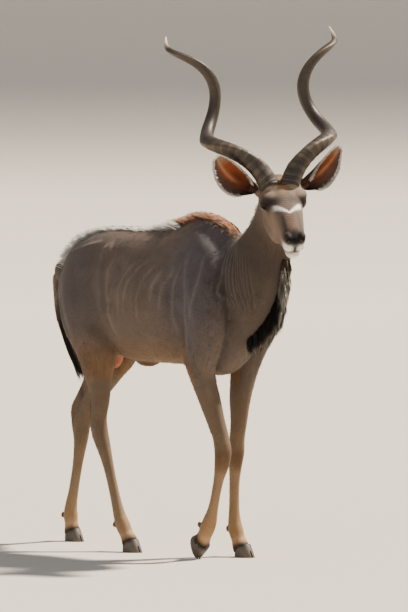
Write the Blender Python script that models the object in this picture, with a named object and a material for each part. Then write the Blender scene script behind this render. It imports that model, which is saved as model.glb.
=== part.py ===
"""A greater kudu bull, life size, caught in a walk.

Metres, +Z up. The bull walks towards -Y with its left side at +X, and the floor is z = 0.
The flesh is modelled whole from lofted limbs and muscles, then parted with thin cuts.
"""

import math
import random

import bmesh
import bpy
import numpy as np
from mathutils import Matrix, Vector
from mathutils.bvhtree import BVHTree

GAP = 0.0003
SKIN_VOXEL = 0.0075
HEAD_VOXEL = 0.0036
ORIGIN_SHIFT = Vector((-0.0881, 0.2141, 0.0))

FLESH_TRIANGLES = {"body": 6150, "head": 3700}
RIBS = 7
RIB_FIRST = -0.29
RIB_SPACING = 0.045

# The head: where the midpoint of the eyes is, and how the head is held.
EYES_MIDPOINT = Vector((-0.05, -0.934, 1.443))
HEAD_TURN = math.radians(28)
HEAD_DROP = math.radians(35)
HEAD_TILT = math.radians(3.7)
EYE_RADIUS = 0.0205
EYE_PLACE = (0.0715, 0.004, 0.001)
EYE_OPENING = (0.0180, 0.0125)
EYE_SLANT = math.radians(14)
EYE_TURN = math.radians(38)

# The horns: an open corkscrew about an axis that leans out and back.
HORN_ROOT = Vector((-0.05, -0.913, 1.500))
HORN_APART = 0.045
HORN_ABOVE = 0.008
HORN_RISE = 0.872
HORN_SPLAY = math.radians(15)
HORN_LEAN = math.radians(55)
HORN_FIRST_PHASE = math.radians(-198.9)
HORN_TURNS = -1.695
HORN_PACE = 1.2
HORN_COIL = (0.064, 0.032, 0.014)
HORN_RADIUS = ((-0.02, 0.037), (0.1, 0.0325), (0.25, 0.0290), (0.45, 0.0262),
               (0.62, 0.0212), (0.78, 0.0150), (0.9, 0.0095), (0.97, 0.0040))
HORN_END = 0.962
HORN_START = -0.015
HORN_RINGS = 13
HORN_RINGED_PART = 0.42
HORN_RING_HEIGHT = 0.0016
HORN_KEEL = 0.24
HORN_SIDES = 9
HORN_SMOOTH_STATIONS = 17

# The ears: a leaf-shaped cup on a short stem, each with its own direction.
EAR_LENGTH = 0.245
EAR_ROOT = (0.068, -0.104, -0.010)
EAR_BEND = 0.028
EAR_AXIS = {1: (0.790, 0.126, 0.600), -1: (0.759, 0.304, 0.577)}
EAR_OPENS = {1: math.radians(48), -1: math.radians(36)}
EAR_THICKNESS = 0.0048
EAR_STEM_RADIUS = 0.0235
EAR_SEAT = 0.014
EAR_COLUMNS = 7

# Hair: how deep a lock is rooted and its share of width at places along it. The two crests give
# their first and last place along the body, the number of locks, their length and how steep they stand.
SEED = 11
LOCK_ROOT_DEPTH = 0.010
LONG_LOCK = ((0.0, 0.75), (0.35, 1.0), (0.70, 0.72), (1.0, 0.12))
SHORT_LOCK = ((0.0, 0.80), (0.50, 1.0), (1.0, 0.15))
SPINE_CREST = (-0.155, 0.535, 17, 0.072, 0.28)
HUMP_CREST = (-0.565, -0.195, 10, 0.074, 0.55)
NAPE_LOCKS = 7
FRINGE_LOCKS = 6
FRINGE_TOP = 1.205
FRINGE_BOTTOM = 0.905
FRINGE_LENGTHS = (0.060, 0.080, 0.100, 0.085)
TAIL_LOCKS = 8

# Hooves, in their own frame: the ground under the coronet, with +Y to the heel.
HOOF_TOE = -0.066
HOOF_HEEL = 0.031
HOOF_HALF_WIDTH = 0.0335
HOOF_TOP_FRONT = 0.056
HOOF_TOP_BACK = 0.031
HOOF_CLEFT = 0.0045
FEET = {
    "foreleg_left": ((0.090, -0.498, 0.0), 0.0),
    "foreleg_right": ((-0.100, -0.482, 0.0712), math.radians(80)),
    "hindleg_left": ((0.090, 0.652, 0.0), 0.0),
    "hindleg_right": ((-0.100, 0.002, 0.0), 0.0),
}


def horizontal(turn):
    """The direction of a head turned to its right by `turn`."""
    return Vector((-math.sin(turn), -math.cos(turn), 0))


class HeadFrame:
    """Axes of the head: `left`, `ahead` and `up` while level, `muzzle` and `brow` once it is dropped."""

    def __init__(self):
        side = Vector((math.cos(HEAD_TURN), -math.sin(HEAD_TURN), 0))
        rise = Vector((0, 0, 1))
        self.ahead = horizontal(HEAD_TURN)
        self.left = side * math.cos(HEAD_TILT) + rise * math.sin(HEAD_TILT)
        self.up = rise * math.cos(HEAD_TILT) - side * math.sin(HEAD_TILT)
        self.muzzle = self.ahead * math.cos(HEAD_DROP) - self.up * math.sin(HEAD_DROP)
        self.brow = self.up * math.cos(HEAD_DROP) + self.ahead * math.sin(HEAD_DROP)

    def on_face(self, across, along, above):
        """A point by its distance to the left, towards the nose and above the eyes."""
        return EYES_MIDPOINT + self.left * across + self.muzzle * along + self.brow * above

    def level(self, across, forward, above):
        """A direction or offset in the head's level axes."""
        return self.left * across + self.ahead * forward + self.up * above


HEAD = HeadFrame()


# Mesh helpers


def clear_scene():
    for obj in list(bpy.data.objects):
        bpy.data.objects.remove(obj)


def link(name, mesh):
    obj = bpy.data.objects.new(name, mesh)
    bpy.context.scene.collection.objects.link(obj)
    return obj


def mesh_object(name, points, faces):
    mesh = bpy.data.meshes.new(name)
    mesh.from_pydata([tuple(p) for p in points], [], faces)
    mesh.validate()
    return link(name, mesh)


def smooth_rows(rows, steps):
    """Rows of numbers made finer with a Catmull-Rom spline through them."""
    rows = np.array(rows, float)
    ends = np.vstack([2 * rows[0] - rows[1], rows, 2 * rows[-1] - rows[-2]])
    fine = []
    for i in range(1, len(ends) - 2):
        a, b, c, d = ends[i - 1 : i + 3]
        for t in np.arange(steps) / steps:
            fine.append(
                0.5 * (2 * b + (c - a) * t + (2 * a - 5 * b + 4 * c - d) * t * t
                       + (3 * b - a - 3 * c + d) * t ** 3)
            )
    fine.append(rows[-1])
    return np.array(fine)


def section(side, upper, under, sharp_up, sharp_down, count):
    """A ring in (across, up): a superellipse whose halves have their own height and squareness."""
    points = []
    for k in range(count):
        angle = 2 * math.pi * k / count
        c, s = math.cos(angle), math.sin(angle)
        power = 2 / (sharp_up if s >= 0 else sharp_down)
        height = upper if s >= 0 else under
        points.append(
            (side * math.copysign(abs(c) ** power, c), height * math.copysign(abs(s) ** power, s))
        )
    return points


def loft_rings(name, rings):
    """A closed mesh through rings of equal length, with a fan at each end."""
    count = len(rings[0])
    points = [p for ring in rings for p in ring]
    faces = []
    for i in range(len(rings) - 1):
        for k in range(count):
            a, b = i * count + k, i * count + (k + 1) % count
            faces.append((a, b, b + count, a + count))
    for ring_start, turned in ((0, True), ((len(rings) - 1) * count, False)):
        middle = sum((Vector(points[ring_start + k]) for k in range(count)), Vector()) / count
        points.append(middle)
        for k in range(count):
            a, b = ring_start + k, ring_start + (k + 1) % count
            faces.append((b, a, len(points) - 1) if turned else (a, b, len(points) - 1))
    obj = mesh_object(name, points, faces)
    face_outwards(obj.data)
    return obj


def face_outwards(mesh):
    bm = bmesh.new()
    bm.from_mesh(mesh)
    bmesh.ops.recalc_face_normals(bm, faces=bm.faces)
    if bm.calc_volume(signed=True) < 0:
        bmesh.ops.reverse_faces(bm, faces=bm.faces)
    bm.to_mesh(mesh)
    bm.free()


def loft(name, stations, across=Vector((1, 0, 0)), steps=4, count=24):
    """A limb or trunk through stations (x, y, z, side, upper, under, sharp_up, sharp_down).

    `upper` is the half-depth on the front of a leg, the back of the trunk, the nape and the brow.
    """
    rows = smooth_rows([tuple(s) + (2, 2)[: 8 - len(s)] for s in stations], steps)
    centres = [Vector(r[:3]) for r in rows]
    rings = []
    for i, row in enumerate(rows):
        along = (centres[min(i + 1, len(rows) - 1)] - centres[max(i - 1, 0)]).normalized()
        upward = along.cross(across).normalized()
        outward = upward.cross(along).normalized()
        if outward.dot(across) < 0:
            outward.negate()
        rings.append(
            [centres[i] + outward * c + upward * u for c, u in section(*row[3:8], count)]
        )
    return loft_rings(name, rings)


def blob(name, centre, radii, axes=None, segments=20):
    """An ellipsoid; `axes` are its three directions."""
    x, y, z = axes or (Vector((1, 0, 0)), Vector((0, 1, 0)), Vector((0, 0, 1)))
    mesh = bpy.data.meshes.new(name)
    bm = bmesh.new()
    bmesh.ops.create_uvsphere(bm, u_segments=segments, v_segments=segments // 2, radius=1)
    for v in bm.verts:
        v.co = Vector(centre) + x * v.co.x * radii[0] + y * v.co.y * radii[1] + z * v.co.z * radii[2]
    bm.to_mesh(mesh)
    bm.free()
    face_outwards(mesh)
    return link(name, mesh)


def bake(obj):
    """Replaces an object's mesh by what its modifiers make of it."""
    graph = bpy.context.evaluated_depsgraph_get()
    mesh = bpy.data.meshes.new_from_object(obj.evaluated_get(graph))
    obj.modifiers.clear()
    obj.data = mesh
    return obj


def fuse(name, pieces, voxel):
    """One closed skin round overlapping closed pieces."""
    bm = bmesh.new()
    for piece in pieces:
        bm.from_mesh(piece.data)
    mesh = bpy.data.meshes.new(name)
    bm.to_mesh(mesh)
    bm.free()
    for piece in pieces:
        bpy.data.objects.remove(piece)
    obj = link(name, mesh)
    remesh = obj.modifiers.new("fuse", "REMESH")
    remesh.mode = "VOXEL"
    remesh.voxel_size = voxel
    return bake(obj)


def coordinates(mesh):
    points = np.empty(len(mesh.vertices) * 3, np.float32)
    mesh.vertices.foreach_get("co", points)
    return points.reshape(-1, 3).astype(float)


def normals(mesh):
    values = np.empty(len(mesh.vertices) * 3, np.float32)
    mesh.vertex_normals.foreach_get("vector", values)
    return values.reshape(-1, 3).astype(float)


def soften(obj, weight_of, repeats):
    """Smooths a mesh, by each vertex's weight from 0 to 1."""
    weights = weight_of(coordinates(obj.data))
    group = obj.vertex_groups.new(name="soft")
    for level in range(1, 11):
        chosen = np.nonzero(np.round(weights * 10) == level)[0]
        if len(chosen):
            group.add(chosen.tolist(), level / 10, "REPLACE")
    smooth = obj.modifiers.new("soften", "SMOOTH")
    smooth.vertex_group = group.name
    smooth.factor = 0.5
    smooth.iterations = repeats
    bake(obj)
    obj.vertex_groups.clear()
    return obj


def decimate(obj, triangles):
    modifier = obj.modifiers.new("fewer", "DECIMATE")
    now = sum(len(p.vertices) - 2 for p in obj.data.polygons)
    modifier.ratio = min(1.0, triangles / now)
    modifier.use_collapse_triangulate = True
    return bake(obj)


def distance_to_line(points, line):
    """Distance of each point to a polyline, and how far along it from 0 to 1 its nearest place is."""
    best = np.full(len(points), 1e9)
    place = np.zeros(len(points))
    line = np.array(line, float)
    for i in range(len(line) - 1):
        a, d = line[i], line[i + 1] - line[i]
        t = np.clip((points - a) @ d / (d @ d), 0, 1)
        gap = np.linalg.norm(points - a - t[:, None] * d, axis=1)
        nearer = gap < best
        best[nearer] = gap[nearer]
        place[nearer] = (i + t[nearer]) / (len(line) - 1)
    return best, place


def ridge(moves, points, facing, line, width, height):
    """Adds a ridge, or a groove where height is negative, along a side-view line (y, z)."""
    gap, place = distance_to_line(points[:, 1:], line)
    fade = np.minimum(1, 5 * np.minimum(place, 1 - place) + 0.15)
    moves += height * np.exp(-((gap / width) ** 2)) * fade * facing


def sculpt(obj, strokes):
    """Raises and lowers a skin along strokes drawn in side view, each on one flank or both."""
    points, outward = coordinates(obj.data), normals(obj.data)
    moves = np.zeros(len(points))
    for flank, line, width, height in strokes:
        facing = np.clip(np.abs(outward[:, 0]) * 1.6 - 0.3, 0, 1)
        if flank:
            facing = facing * (points[:, 0] * flank > 0)
        ridge(moves, points, facing, line, width, height)
    points += outward * moves[:, None]
    obj.data.vertices.foreach_set("co", points.astype(np.float32).ravel())
    obj.data.update()
    return obj


# The flesh


def trunk():
    stations = [
        # y, z, side, back, belly, sharpness above and below
        (0.606, 1.090, 0.016, 0.030, 0.035, 2.0, 2.0),
        (0.585, 1.085, 0.034, 0.075, 0.085, 2.0, 2.0),
        (0.545, 1.080, 0.052, 0.125, 0.150, 2.0, 2.0),
        (0.480, 1.080, 0.092, 0.165, 0.205, 1.9, 2.0),
        (0.400, 1.085, 0.140, 0.195, 0.245, 1.8, 2.0),
        (0.300, 1.090, 0.164, 0.218, 0.268, 1.8, 2.0),
        (0.170, 1.090, 0.174, 0.232, 0.290, 1.8, 2.0),
        (0.020, 1.060, 0.192, 0.266, 0.284, 1.7, 2.1),
        (-0.120, 1.040, 0.204, 0.288, 0.264, 1.6, 2.2),
        (-0.250, 1.030, 0.200, 0.318, 0.254, 1.5, 2.2),
        (-0.350, 1.030, 0.184, 0.344, 0.268, 1.45, 2.1),
        (-0.460, 1.020, 0.162, 0.338, 0.284, 1.5, 2.0),
        (-0.560, 1.000, 0.136, 0.296, 0.262, 1.6, 2.0),
        (-0.640, 0.985, 0.100, 0.205, 0.185, 1.8, 2.0),
        (-0.695, 0.975, 0.060, 0.100, 0.095, 2.0, 2.0),
    ]
    return loft("trunk", [(0, *s) for s in stations], count=36)


def neck():
    stations = [
        (0.0, -0.45, 1.080, 0.130, 0.230, 0.250),
        (0.0, -0.60, 1.105, 0.124, 0.195, 0.235),
        (-0.002, -0.70, 1.172, 0.104, 0.160, 0.198),
        (-0.006, -0.768, 1.270, 0.080, 0.116, 0.142),
        (-0.008, -0.812, 1.360, 0.067, 0.088, 0.110),
        (-0.008, -0.838, 1.440, 0.064, 0.074, 0.085),
        (-0.010, -0.850, 1.490, 0.058, 0.055, 0.060),
    ]
    return loft("neck", stations, count=28)


def foreleg(side, lower):
    """Shoulder blade, upper arm and elbow, then the free limb down to the coronet."""
    blade = [
        (side * 0.052, -0.365, 1.285, 0.030, 0.060, 0.080),
        (side * 0.096, -0.450, 1.180, 0.050, 0.120, 0.125),
        (side * 0.128, -0.525, 1.060, 0.058, 0.125, 0.140),
    ]
    return loft(f"foreleg {side}", blade + [(side * s[0], *s[1:]) for s in lower], count=20)


PLANTED_FORELEG = [
    (0.142, -0.535, 0.955, 0.060, 0.104, 0.128),
    (0.138, -0.492, 0.865, 0.058, 0.084, 0.104),
    (0.124, -0.474, 0.780, 0.051, 0.070, 0.072),
    (0.108, -0.472, 0.700, 0.045, 0.056, 0.056),
    (0.098, -0.470, 0.636, 0.039, 0.050, 0.048),
    (0.093, -0.470, 0.555, 0.031, 0.040, 0.040),
    (0.090, -0.463, 0.480, 0.029, 0.033, 0.035),
    (0.090, -0.457, 0.424, 0.032, 0.034, 0.036),
    (0.090, -0.452, 0.370, 0.026, 0.027, 0.030),
    (0.090, -0.446, 0.300, 0.020, 0.021, 0.025),
    (0.090, -0.444, 0.200, 0.020, 0.021, 0.025),
    (0.090, -0.447, 0.145, 0.025, 0.025, 0.031),
    (0.090, -0.454, 0.110, 0.029, 0.030, 0.035),
    (0.090, -0.470, 0.072, 0.029, 0.028, 0.028),
    (0.090, -0.484, 0.044, 0.034, 0.034, 0.032),
    (0.090, -0.492, 0.024, 0.032, 0.034, 0.032),
]

LIFTED_FORELEG = [
    (0.144, -0.560, 0.960, 0.060, 0.112, 0.132),
    (0.142, -0.535, 0.870, 0.058, 0.096, 0.112),
    (0.130, -0.505, 0.785, 0.052, 0.074, 0.076),
    (0.114, -0.505, 0.718, 0.046, 0.056, 0.056),
    (0.106, -0.533, 0.643, 0.040, 0.049, 0.049),
    (0.102, -0.566, 0.563, 0.033, 0.042, 0.042),
    (0.100, -0.595, 0.500, 0.031, 0.036, 0.036),
    (0.100, -0.611, 0.440, 0.033, 0.036, 0.037),
    (0.100, -0.604, 0.385, 0.029, 0.030, 0.033),
    (0.100, -0.586, 0.330, 0.021, 0.020, 0.024),
    (0.100, -0.566, 0.265, 0.018, 0.018, 0.022),
    (0.100, -0.546, 0.200, 0.020, 0.021, 0.026),
    (0.100, -0.527, 0.155, 0.027, 0.029, 0.033),
    (0.100, -0.508, 0.122, 0.029, 0.031, 0.033),
    (0.100, -0.490, 0.096, 0.030, 0.028, 0.028),
    (0.100, -0.473, 0.074, 0.033, 0.033, 0.032),
    (0.100, -0.461, 0.058, 0.031, 0.033, 0.032),
]

FORWARD_HINDLEG = [
    (0.070, 0.340, 1.225, 0.060, 0.180, 0.108),
    (0.098, 0.310, 1.120, 0.078, 0.215, 0.148),
    (0.114, 0.275, 1.010, 0.080, 0.210, 0.168),
    (0.118, 0.232, 0.910, 0.074, 0.170, 0.155),
    (0.114, 0.212, 0.820, 0.064, 0.122, 0.118),
    (0.110, 0.210, 0.740, 0.053, 0.084, 0.084),
    (0.104, 0.207, 0.675, 0.043, 0.060, 0.062),
    (0.100, 0.206, 0.610, 0.034, 0.044, 0.050),
    (0.100, 0.210, 0.545, 0.027, 0.034, 0.046),
    (0.100, 0.206, 0.490, 0.030, 0.034, 0.048),
    (0.100, 0.190, 0.440, 0.029, 0.033, 0.036),
    (0.100, 0.164, 0.380, 0.023, 0.027, 0.028),
    (0.100, 0.138, 0.315, 0.019, 0.022, 0.025),
    (0.100, 0.102, 0.215, 0.019, 0.022, 0.025),
    (0.100, 0.074, 0.148, 0.024, 0.025, 0.031),
    (0.100, 0.052, 0.108, 0.029, 0.030, 0.034),
    (0.100, 0.028, 0.072, 0.028, 0.028, 0.028),
    (0.100, 0.010, 0.048, 0.032, 0.034, 0.033),
    (0.100, 0.004, 0.024, 0.030, 0.033, 0.032),
]

TRAILING_HINDLEG = [
    (0.070, 0.360, 1.225, 0.060, 0.180, 0.125),
    (0.098, 0.345, 1.120, 0.078, 0.215, 0.165),
    (0.114, 0.330, 1.010, 0.080, 0.205, 0.180),
    (0.118, 0.330, 0.910, 0.074, 0.160, 0.175),
    (0.114, 0.362, 0.820, 0.064, 0.112, 0.130),
    (0.108, 0.408, 0.742, 0.053, 0.076, 0.092),
    (0.100, 0.455, 0.676, 0.044, 0.058, 0.066),
    (0.095, 0.505, 0.612, 0.034, 0.044, 0.052),
    (0.092, 0.552, 0.553, 0.028, 0.036, 0.048),
    (0.090, 0.578, 0.500, 0.030, 0.036, 0.050),
    (0.090, 0.590, 0.440, 0.029, 0.032, 0.037),
    (0.090, 0.604, 0.375, 0.023, 0.026, 0.028),
    (0.090, 0.619, 0.310, 0.019, 0.022, 0.025),
    (0.090, 0.643, 0.215, 0.019, 0.022, 0.025),
    (0.090, 0.660, 0.150, 0.024, 0.025, 0.031),
    (0.090, 0.664, 0.108, 0.029, 0.030, 0.034),
    (0.090, 0.660, 0.072, 0.028, 0.028, 0.028),
    (0.090, 0.656, 0.048, 0.032, 0.034, 0.033),
    (0.090, 0.654, 0.024, 0.030, 0.033, 0.032),
]


def hock_cord(side, line):
    """The tendon from the calf to the point of the hock, and the bone it ends on."""
    stations = [(side * x, y, z, a, b, b) for x, y, z, a, b in line]
    return loft("hock cord", stations, count=14)


FORWARD_HOCK = [
    (0.104, 0.262, 0.740, 0.024, 0.030),
    (0.100, 0.254, 0.660, 0.014, 0.022),
    (0.100, 0.250, 0.590, 0.012, 0.022),
    (0.100, 0.253, 0.535, 0.016, 0.018),
    (0.100, 0.238, 0.470, 0.017, 0.014),
    (0.100, 0.205, 0.410, 0.014, 0.012),
]

TRAILING_HOCK = [
    (0.100, 0.520, 0.715, 0.024, 0.036),
    (0.096, 0.562, 0.650, 0.014, 0.034),
    (0.092, 0.602, 0.595, 0.013, 0.030),
    (0.090, 0.632, 0.558, 0.016, 0.022),
    (0.090, 0.633, 0.500, 0.017, 0.014),
    (0.090, 0.622, 0.430, 0.014, 0.012),
]


def hindleg(side, stations):
    return loft(f"hindleg {side}", [(side * s[0], *s[1:]) for s in stations], count=20)


# Where the pair of dew claws sits behind each fetlock: middle and the way they point.
DEW_CLAWS = ((0.090, -0.418, 0.112), (-0.100, -0.474, 0.140), (-0.100, 0.092, 0.108), (0.090, 0.702, 0.108))


def dew_claws():
    pieces = []
    for x, y, z in DEW_CLAWS:
        for side in (1, -1):
            pieces.append(blob("dew claw", (x + side * 0.013, y, z), (0.010, 0.013, 0.015)))
    return pieces


def flesh_of_the_body():
    pieces = [
        trunk(),
        neck(),
        foreleg(1, PLANTED_FORELEG),
        foreleg(-1, LIFTED_FORELEG),
        hindleg(-1, FORWARD_HINDLEG),
        hindleg(1, TRAILING_HINDLEG),
        hock_cord(-1, FORWARD_HOCK),
        hock_cord(1, TRAILING_HOCK),
        blob("tail stump", (0.0, 0.600, 1.140), (0.034, 0.040, 0.040)),
        blob("scrotum", (0.0, 0.245, 0.800), (0.036, 0.045, 0.060)),
        blob("sheath", (0.0, 0.015, 0.780), (0.026, 0.075, 0.022)),
    ]
    return pieces + dew_claws()


def body_softness(points):
    """Little smoothing low on the legs, much of it on trunk and neck."""
    height = np.clip((points[:, 2] - 0.60) / 0.25, 0, 1)
    return 0.12 + 0.88 * height


def body_strokes():
    """Folds and muscles in side view: flank (0 both), line (y, z), half-width and height."""
    strokes = [
        (0, ((-0.30, 1.22), (-0.36, 1.06), (-0.43, 0.92), (-0.455, 0.80)), 0.030, -0.011),
        (0, ((-0.40, 1.26), (-0.45, 1.16), (-0.52, 1.04), (-0.57, 0.95)), 0.030, 0.008),
        (0, ((-0.645, 1.27), (-0.695, 1.13), (-0.735, 0.98)), 0.024, -0.008),
        (0, ((-0.02, 1.21), (0.035, 1.10), (0.035, 0.98)), 0.050, -0.014),
        (0, ((0.095, 1.245), (0.150, 1.225)), 0.028, 0.012),
        (0, ((0.13, 1.20), (0.095, 1.08), (0.085, 0.95), (0.045, 0.86)), 0.022, 0.007),
        (0, ((0.43, 1.12), (0.38, 0.99), (0.31, 0.85)), 0.022, -0.007),
        (0, ((-0.42, 0.86), (-0.46, 0.80), (-0.50, 0.76)), 0.025, 0.006),
    ]
    for k in range(RIBS):
        y = RIB_FIRST + RIB_SPACING * k
        strokes.append((0, ((y, 1.21), (y + 0.055, 1.08), (y + 0.070, 0.96)), 0.013, 0.0045))
    return strokes


TAIL = (
    (0.000, 0.590, 1.150, 0.026, 0.026, 0.026),
    (0.000, 0.620, 1.130, 0.023, 0.023, 0.023),
    (0.002, 0.638, 1.080, 0.019, 0.017, 0.017),
    (0.008, 0.638, 0.985, 0.014, 0.012, 0.012),
    (0.026, 0.618, 0.880, 0.011, 0.010, 0.010),
    (0.046, 0.588, 0.785, 0.009, 0.009, 0.009),
)


def tail_core(name):
    return loft(name, TAIL, count=10, steps=3)


def tail_seat():
    """Clears the flesh behind the tail's root."""
    point, normal = Vector(TAIL_ROOT[0]), Vector(TAIL_ROOT[1]).normalized()
    across = Vector((1, 0, 0))
    upward = normal.cross(across)
    rings = []
    for distance in (-GAP / 2, 0.08):
        rings.append([
            point + normal * distance
            + (across * math.cos(2 * math.pi * k / 20) + upward * math.sin(2 * math.pi * k / 20)) * 0.052
            for k in range(20)
        ])
    return loft_rings("seat", rings)


# The head


def skull():
    stations = [
        # along, above, side, brow, jaw, sharpness above and below
        (-0.165, -0.034, 0.034, 0.030, 0.050, 2.0, 2.0),
        (-0.142, -0.028, 0.062, 0.056, 0.100, 2.1, 2.1),
        (-0.095, -0.016, 0.078, 0.066, 0.126, 2.2, 2.3),
        (-0.045, -0.007, 0.080, 0.062, 0.138, 2.3, 2.5),
        (0.000, -0.002, 0.077, 0.056, 0.144, 2.4, 2.7),
        (0.050, 0.000, 0.068, 0.050, 0.142, 2.4, 2.8),
        (0.100, 0.000, 0.060, 0.046, 0.132, 2.3, 2.7),
        (0.150, -0.002, 0.053, 0.042, 0.119, 2.2, 2.4),
        (0.195, -0.007, 0.047, 0.037, 0.106, 2.2, 2.2),
        (0.225, -0.012, 0.045, 0.033, 0.092, 2.2, 2.2),
        (0.247, -0.018, 0.041, 0.029, 0.068, 2.2, 2.2),
        (0.262, -0.022, 0.029, 0.020, 0.038, 2.0, 2.0),
    ]
    placed = [(*HEAD.on_face(0, s[0], s[1]), *s[2:]) for s in stations]
    return loft("skull", placed, across=HEAD.left, count=32)


def face_axes():
    return HEAD.left, HEAD.muzzle, HEAD.brow


def flesh_of_the_head():
    on = HEAD.on_face
    axes = face_axes()
    pieces = [skull(), neck()]
    for side in (1, -1):
        pieces += [
            blob("brow", on(side * 0.052, -0.008, 0.028), (0.044, 0.046, 0.022), axes),
            blob("orbit", on(side * 0.0615, 0.002, 0.001), (0.0335, 0.035, 0.0295), axes),
            blob("cheek", on(side * 0.036, 0.000, -0.085), (0.040, 0.085, 0.058), axes),
            blob("jaw", on(side * 0.036, 0.050, -0.092), (0.033, 0.080, 0.042), axes),
            blob("temple", on(side * 0.050, -0.055, -0.035), (0.038, 0.055, 0.045), axes),
            blob("horn collar", on(side * 0.042, -0.052, 0.034), (0.038, 0.040, 0.038), axes),
            blob("ear stem", ear_axis_point(side, 0.0), (0.031, 0.031, 0.031), axes),
            blob("nostril wing", on(side * 0.027, 0.236, 0.003), (0.018, 0.026, 0.018), axes),
            blob("upper lip", on(side * 0.024, 0.234, -0.038), (0.021, 0.030, 0.020), axes),
        ]
    pieces.append(blob("chin", on(0, 0.214, -0.086), (0.030, 0.032, 0.023), axes))
    return pieces


def head_softness(points):
    return np.full(len(points), 0.35)


# Cutting the flesh into nodes


def plane_side(mesh, point, normal, keep_above):
    """Cuts a closed mesh with a plane and caps it; what lies on the normal's side stays if keep_above."""
    bm = bmesh.new()
    bm.from_mesh(mesh)
    geometry = bm.verts[:] + bm.edges[:] + bm.faces[:]
    bmesh.ops.bisect_plane(
        bm, geom=geometry, plane_co=point, plane_no=normal, dist=1e-6,
        clear_inner=keep_above, clear_outer=not keep_above,
    )
    rim = [e for e in bm.edges if e.is_boundary]
    bmesh.ops.holes_fill(bm, edges=rim)
    bmesh.ops.triangulate(bm, faces=bm.faces)
    bm.to_mesh(mesh)
    bm.free()
    face_outwards(mesh)


def copy_of(obj, name):
    return link(name, obj.data.copy())


def cut_above(obj, point, normal):
    normal = Vector(normal).normalized()
    plane_side(obj.data, Vector(point) + normal * GAP / 2, normal, True)


def cut_below(obj, point, normal):
    normal = Vector(normal).normalized()
    plane_side(obj.data, Vector(point) - normal * GAP / 2, normal, False)


def leg_block(name, side, y_range, inner, height_at, grow):
    """A block that holds one leg: its sloping top is height_at(x, y), and it grows by `grow` all round."""
    x0, x1 = inner - grow, 0.45
    y0, y1 = y_range[0] - grow, y_range[1] + grow
    corners = []
    for z_of in (lambda x, y: -0.2, lambda x, y: height_at(x, y) + grow):
        for x, y in ((x0, y0), (x1, y0), (x1, y1), (x0, y1)):
            corners.append((side * x, y, z_of(x, y)))
    faces = [(0, 1, 2, 3), (4, 5, 6, 7), (0, 1, 5, 4), (1, 2, 6, 5), (2, 3, 7, 6), (3, 0, 4, 7)]
    obj = mesh_object(name, corners, faces)
    face_outwards(obj.data)
    return obj


def boolean(obj, other, operation, solver="EXACT"):
    modifier = obj.modifiers.new(operation.lower(), "BOOLEAN")
    modifier.operation = operation
    modifier.solver = solver
    modifier.object = other
    bake(obj)
    bpy.data.objects.remove(other)
    return obj


def keep_largest(obj):
    """Drops all but the largest closed surface of an object."""
    bm = bmesh.new()
    bm.from_mesh(obj.data)
    bm.verts.ensure_lookup_table()
    seen, shells = set(), []
    for start in bm.verts:
        if start.index in seen:
            continue
        shell, queue = [], [start]
        seen.add(start.index)
        while queue:
            vert = queue.pop()
            shell.append(vert)
            for edge in vert.link_edges:
                other = edge.other_vert(vert)
                if other.index not in seen:
                    seen.add(other.index)
                    queue.append(other)
        shells.append(shell)
    largest = max(shells, key=len)
    for shell in shells:
        if shell is not largest:
            bmesh.ops.delete(bm, geom=shell, context="VERTS")
    bm.to_mesh(obj.data)
    bm.free()
    return obj


FORELEG_TOP = (0.052, 0.722, 0.55)
HINDLEG_TOP = (0.046, 0.815, 0.50, 0.22)
FORELEG_SPAN = (-0.80, -0.25)
HINDLEG_SPAN = (-0.12, 0.85)


def foreleg_top(x, y):
    inner, height, slope = FORELEG_TOP
    return height + slope * (x - inner)


def hindleg_top(x, y):
    inner, height, slope_out, slope_back = HINDLEG_TOP
    return height + slope_out * (x - inner) + slope_back * (y - 0.25)


NECK_BASE = ((0, -0.625, 1.10), (0, -0.985, 0.17))
NECK_TOP = (HEAD.on_face(0, -0.130, -0.05), Vector((0.10, 0.90, -0.42)))
TAIL_ROOT = ((0, 0.615, 1.150), (0, 0.75, -0.66))


def body_nodes(body):
    """Torso, neck, tail and four legs, parted from one skin."""
    nodes = []
    legs = (
        ("foreleg_left", 1, FORELEG_SPAN, FORELEG_TOP[0], foreleg_top),
        ("foreleg_right", -1, FORELEG_SPAN, FORELEG_TOP[0], foreleg_top),
        ("hindleg_left", 1, HINDLEG_SPAN, HINDLEG_TOP[0], hindleg_top),
        ("hindleg_right", -1, HINDLEG_SPAN, HINDLEG_TOP[0], hindleg_top),
    )
    torso = copy_of(body, "torso")
    for name, side, span, inner, top in legs:
        leg = copy_of(body, name)
        boolean(leg, leg_block("block", side, span, inner, top, 0), "INTERSECT")
        cut_above(leg, *coronet_plane(name))
        nodes.append(keep_largest(leg))
        boolean(torso, leg_block("block", side, span, inner, top, GAP), "DIFFERENCE")
    neck_node = copy_of(body, "neck")
    cut_above(neck_node, *NECK_BASE)
    cut_below(torso, *NECK_BASE)
    boolean(torso, tail_seat(), "DIFFERENCE")
    tail = tail_core("tail")
    cut_above(tail, *TAIL_ROOT)
    cut_below(neck_node, NECK_TOP[0], -NECK_TOP[1])
    bpy.data.objects.remove(body)
    return nodes + [keep_largest(torso), keep_largest(neck_node), keep_largest(tail)]


def head_node(flesh):
    """The head, with seats for horns, ears and eyes, an open eye on each side, nostrils and a mouth."""
    head = copy_of(flesh, "head")
    bpy.data.objects.remove(flesh)
    cut_below(head, *NECK_TOP)
    for side in (1, -1):
        boolean(head, horn("seat", side, HORN_RING_HEIGHT + GAP, False), "DIFFERENCE")
        boolean(head, ear_seat(side), "DIFFERENCE")
        boolean(head, eye("socket", side, EYE_RADIUS + GAP), "DIFFERENCE")
        boolean(head, eye_opening(side), "DIFFERENCE")
        boolean(head, nostril(side), "DIFFERENCE")
    boolean(head, mouth_slit(), "DIFFERENCE")
    return keep_largest(head)


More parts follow.
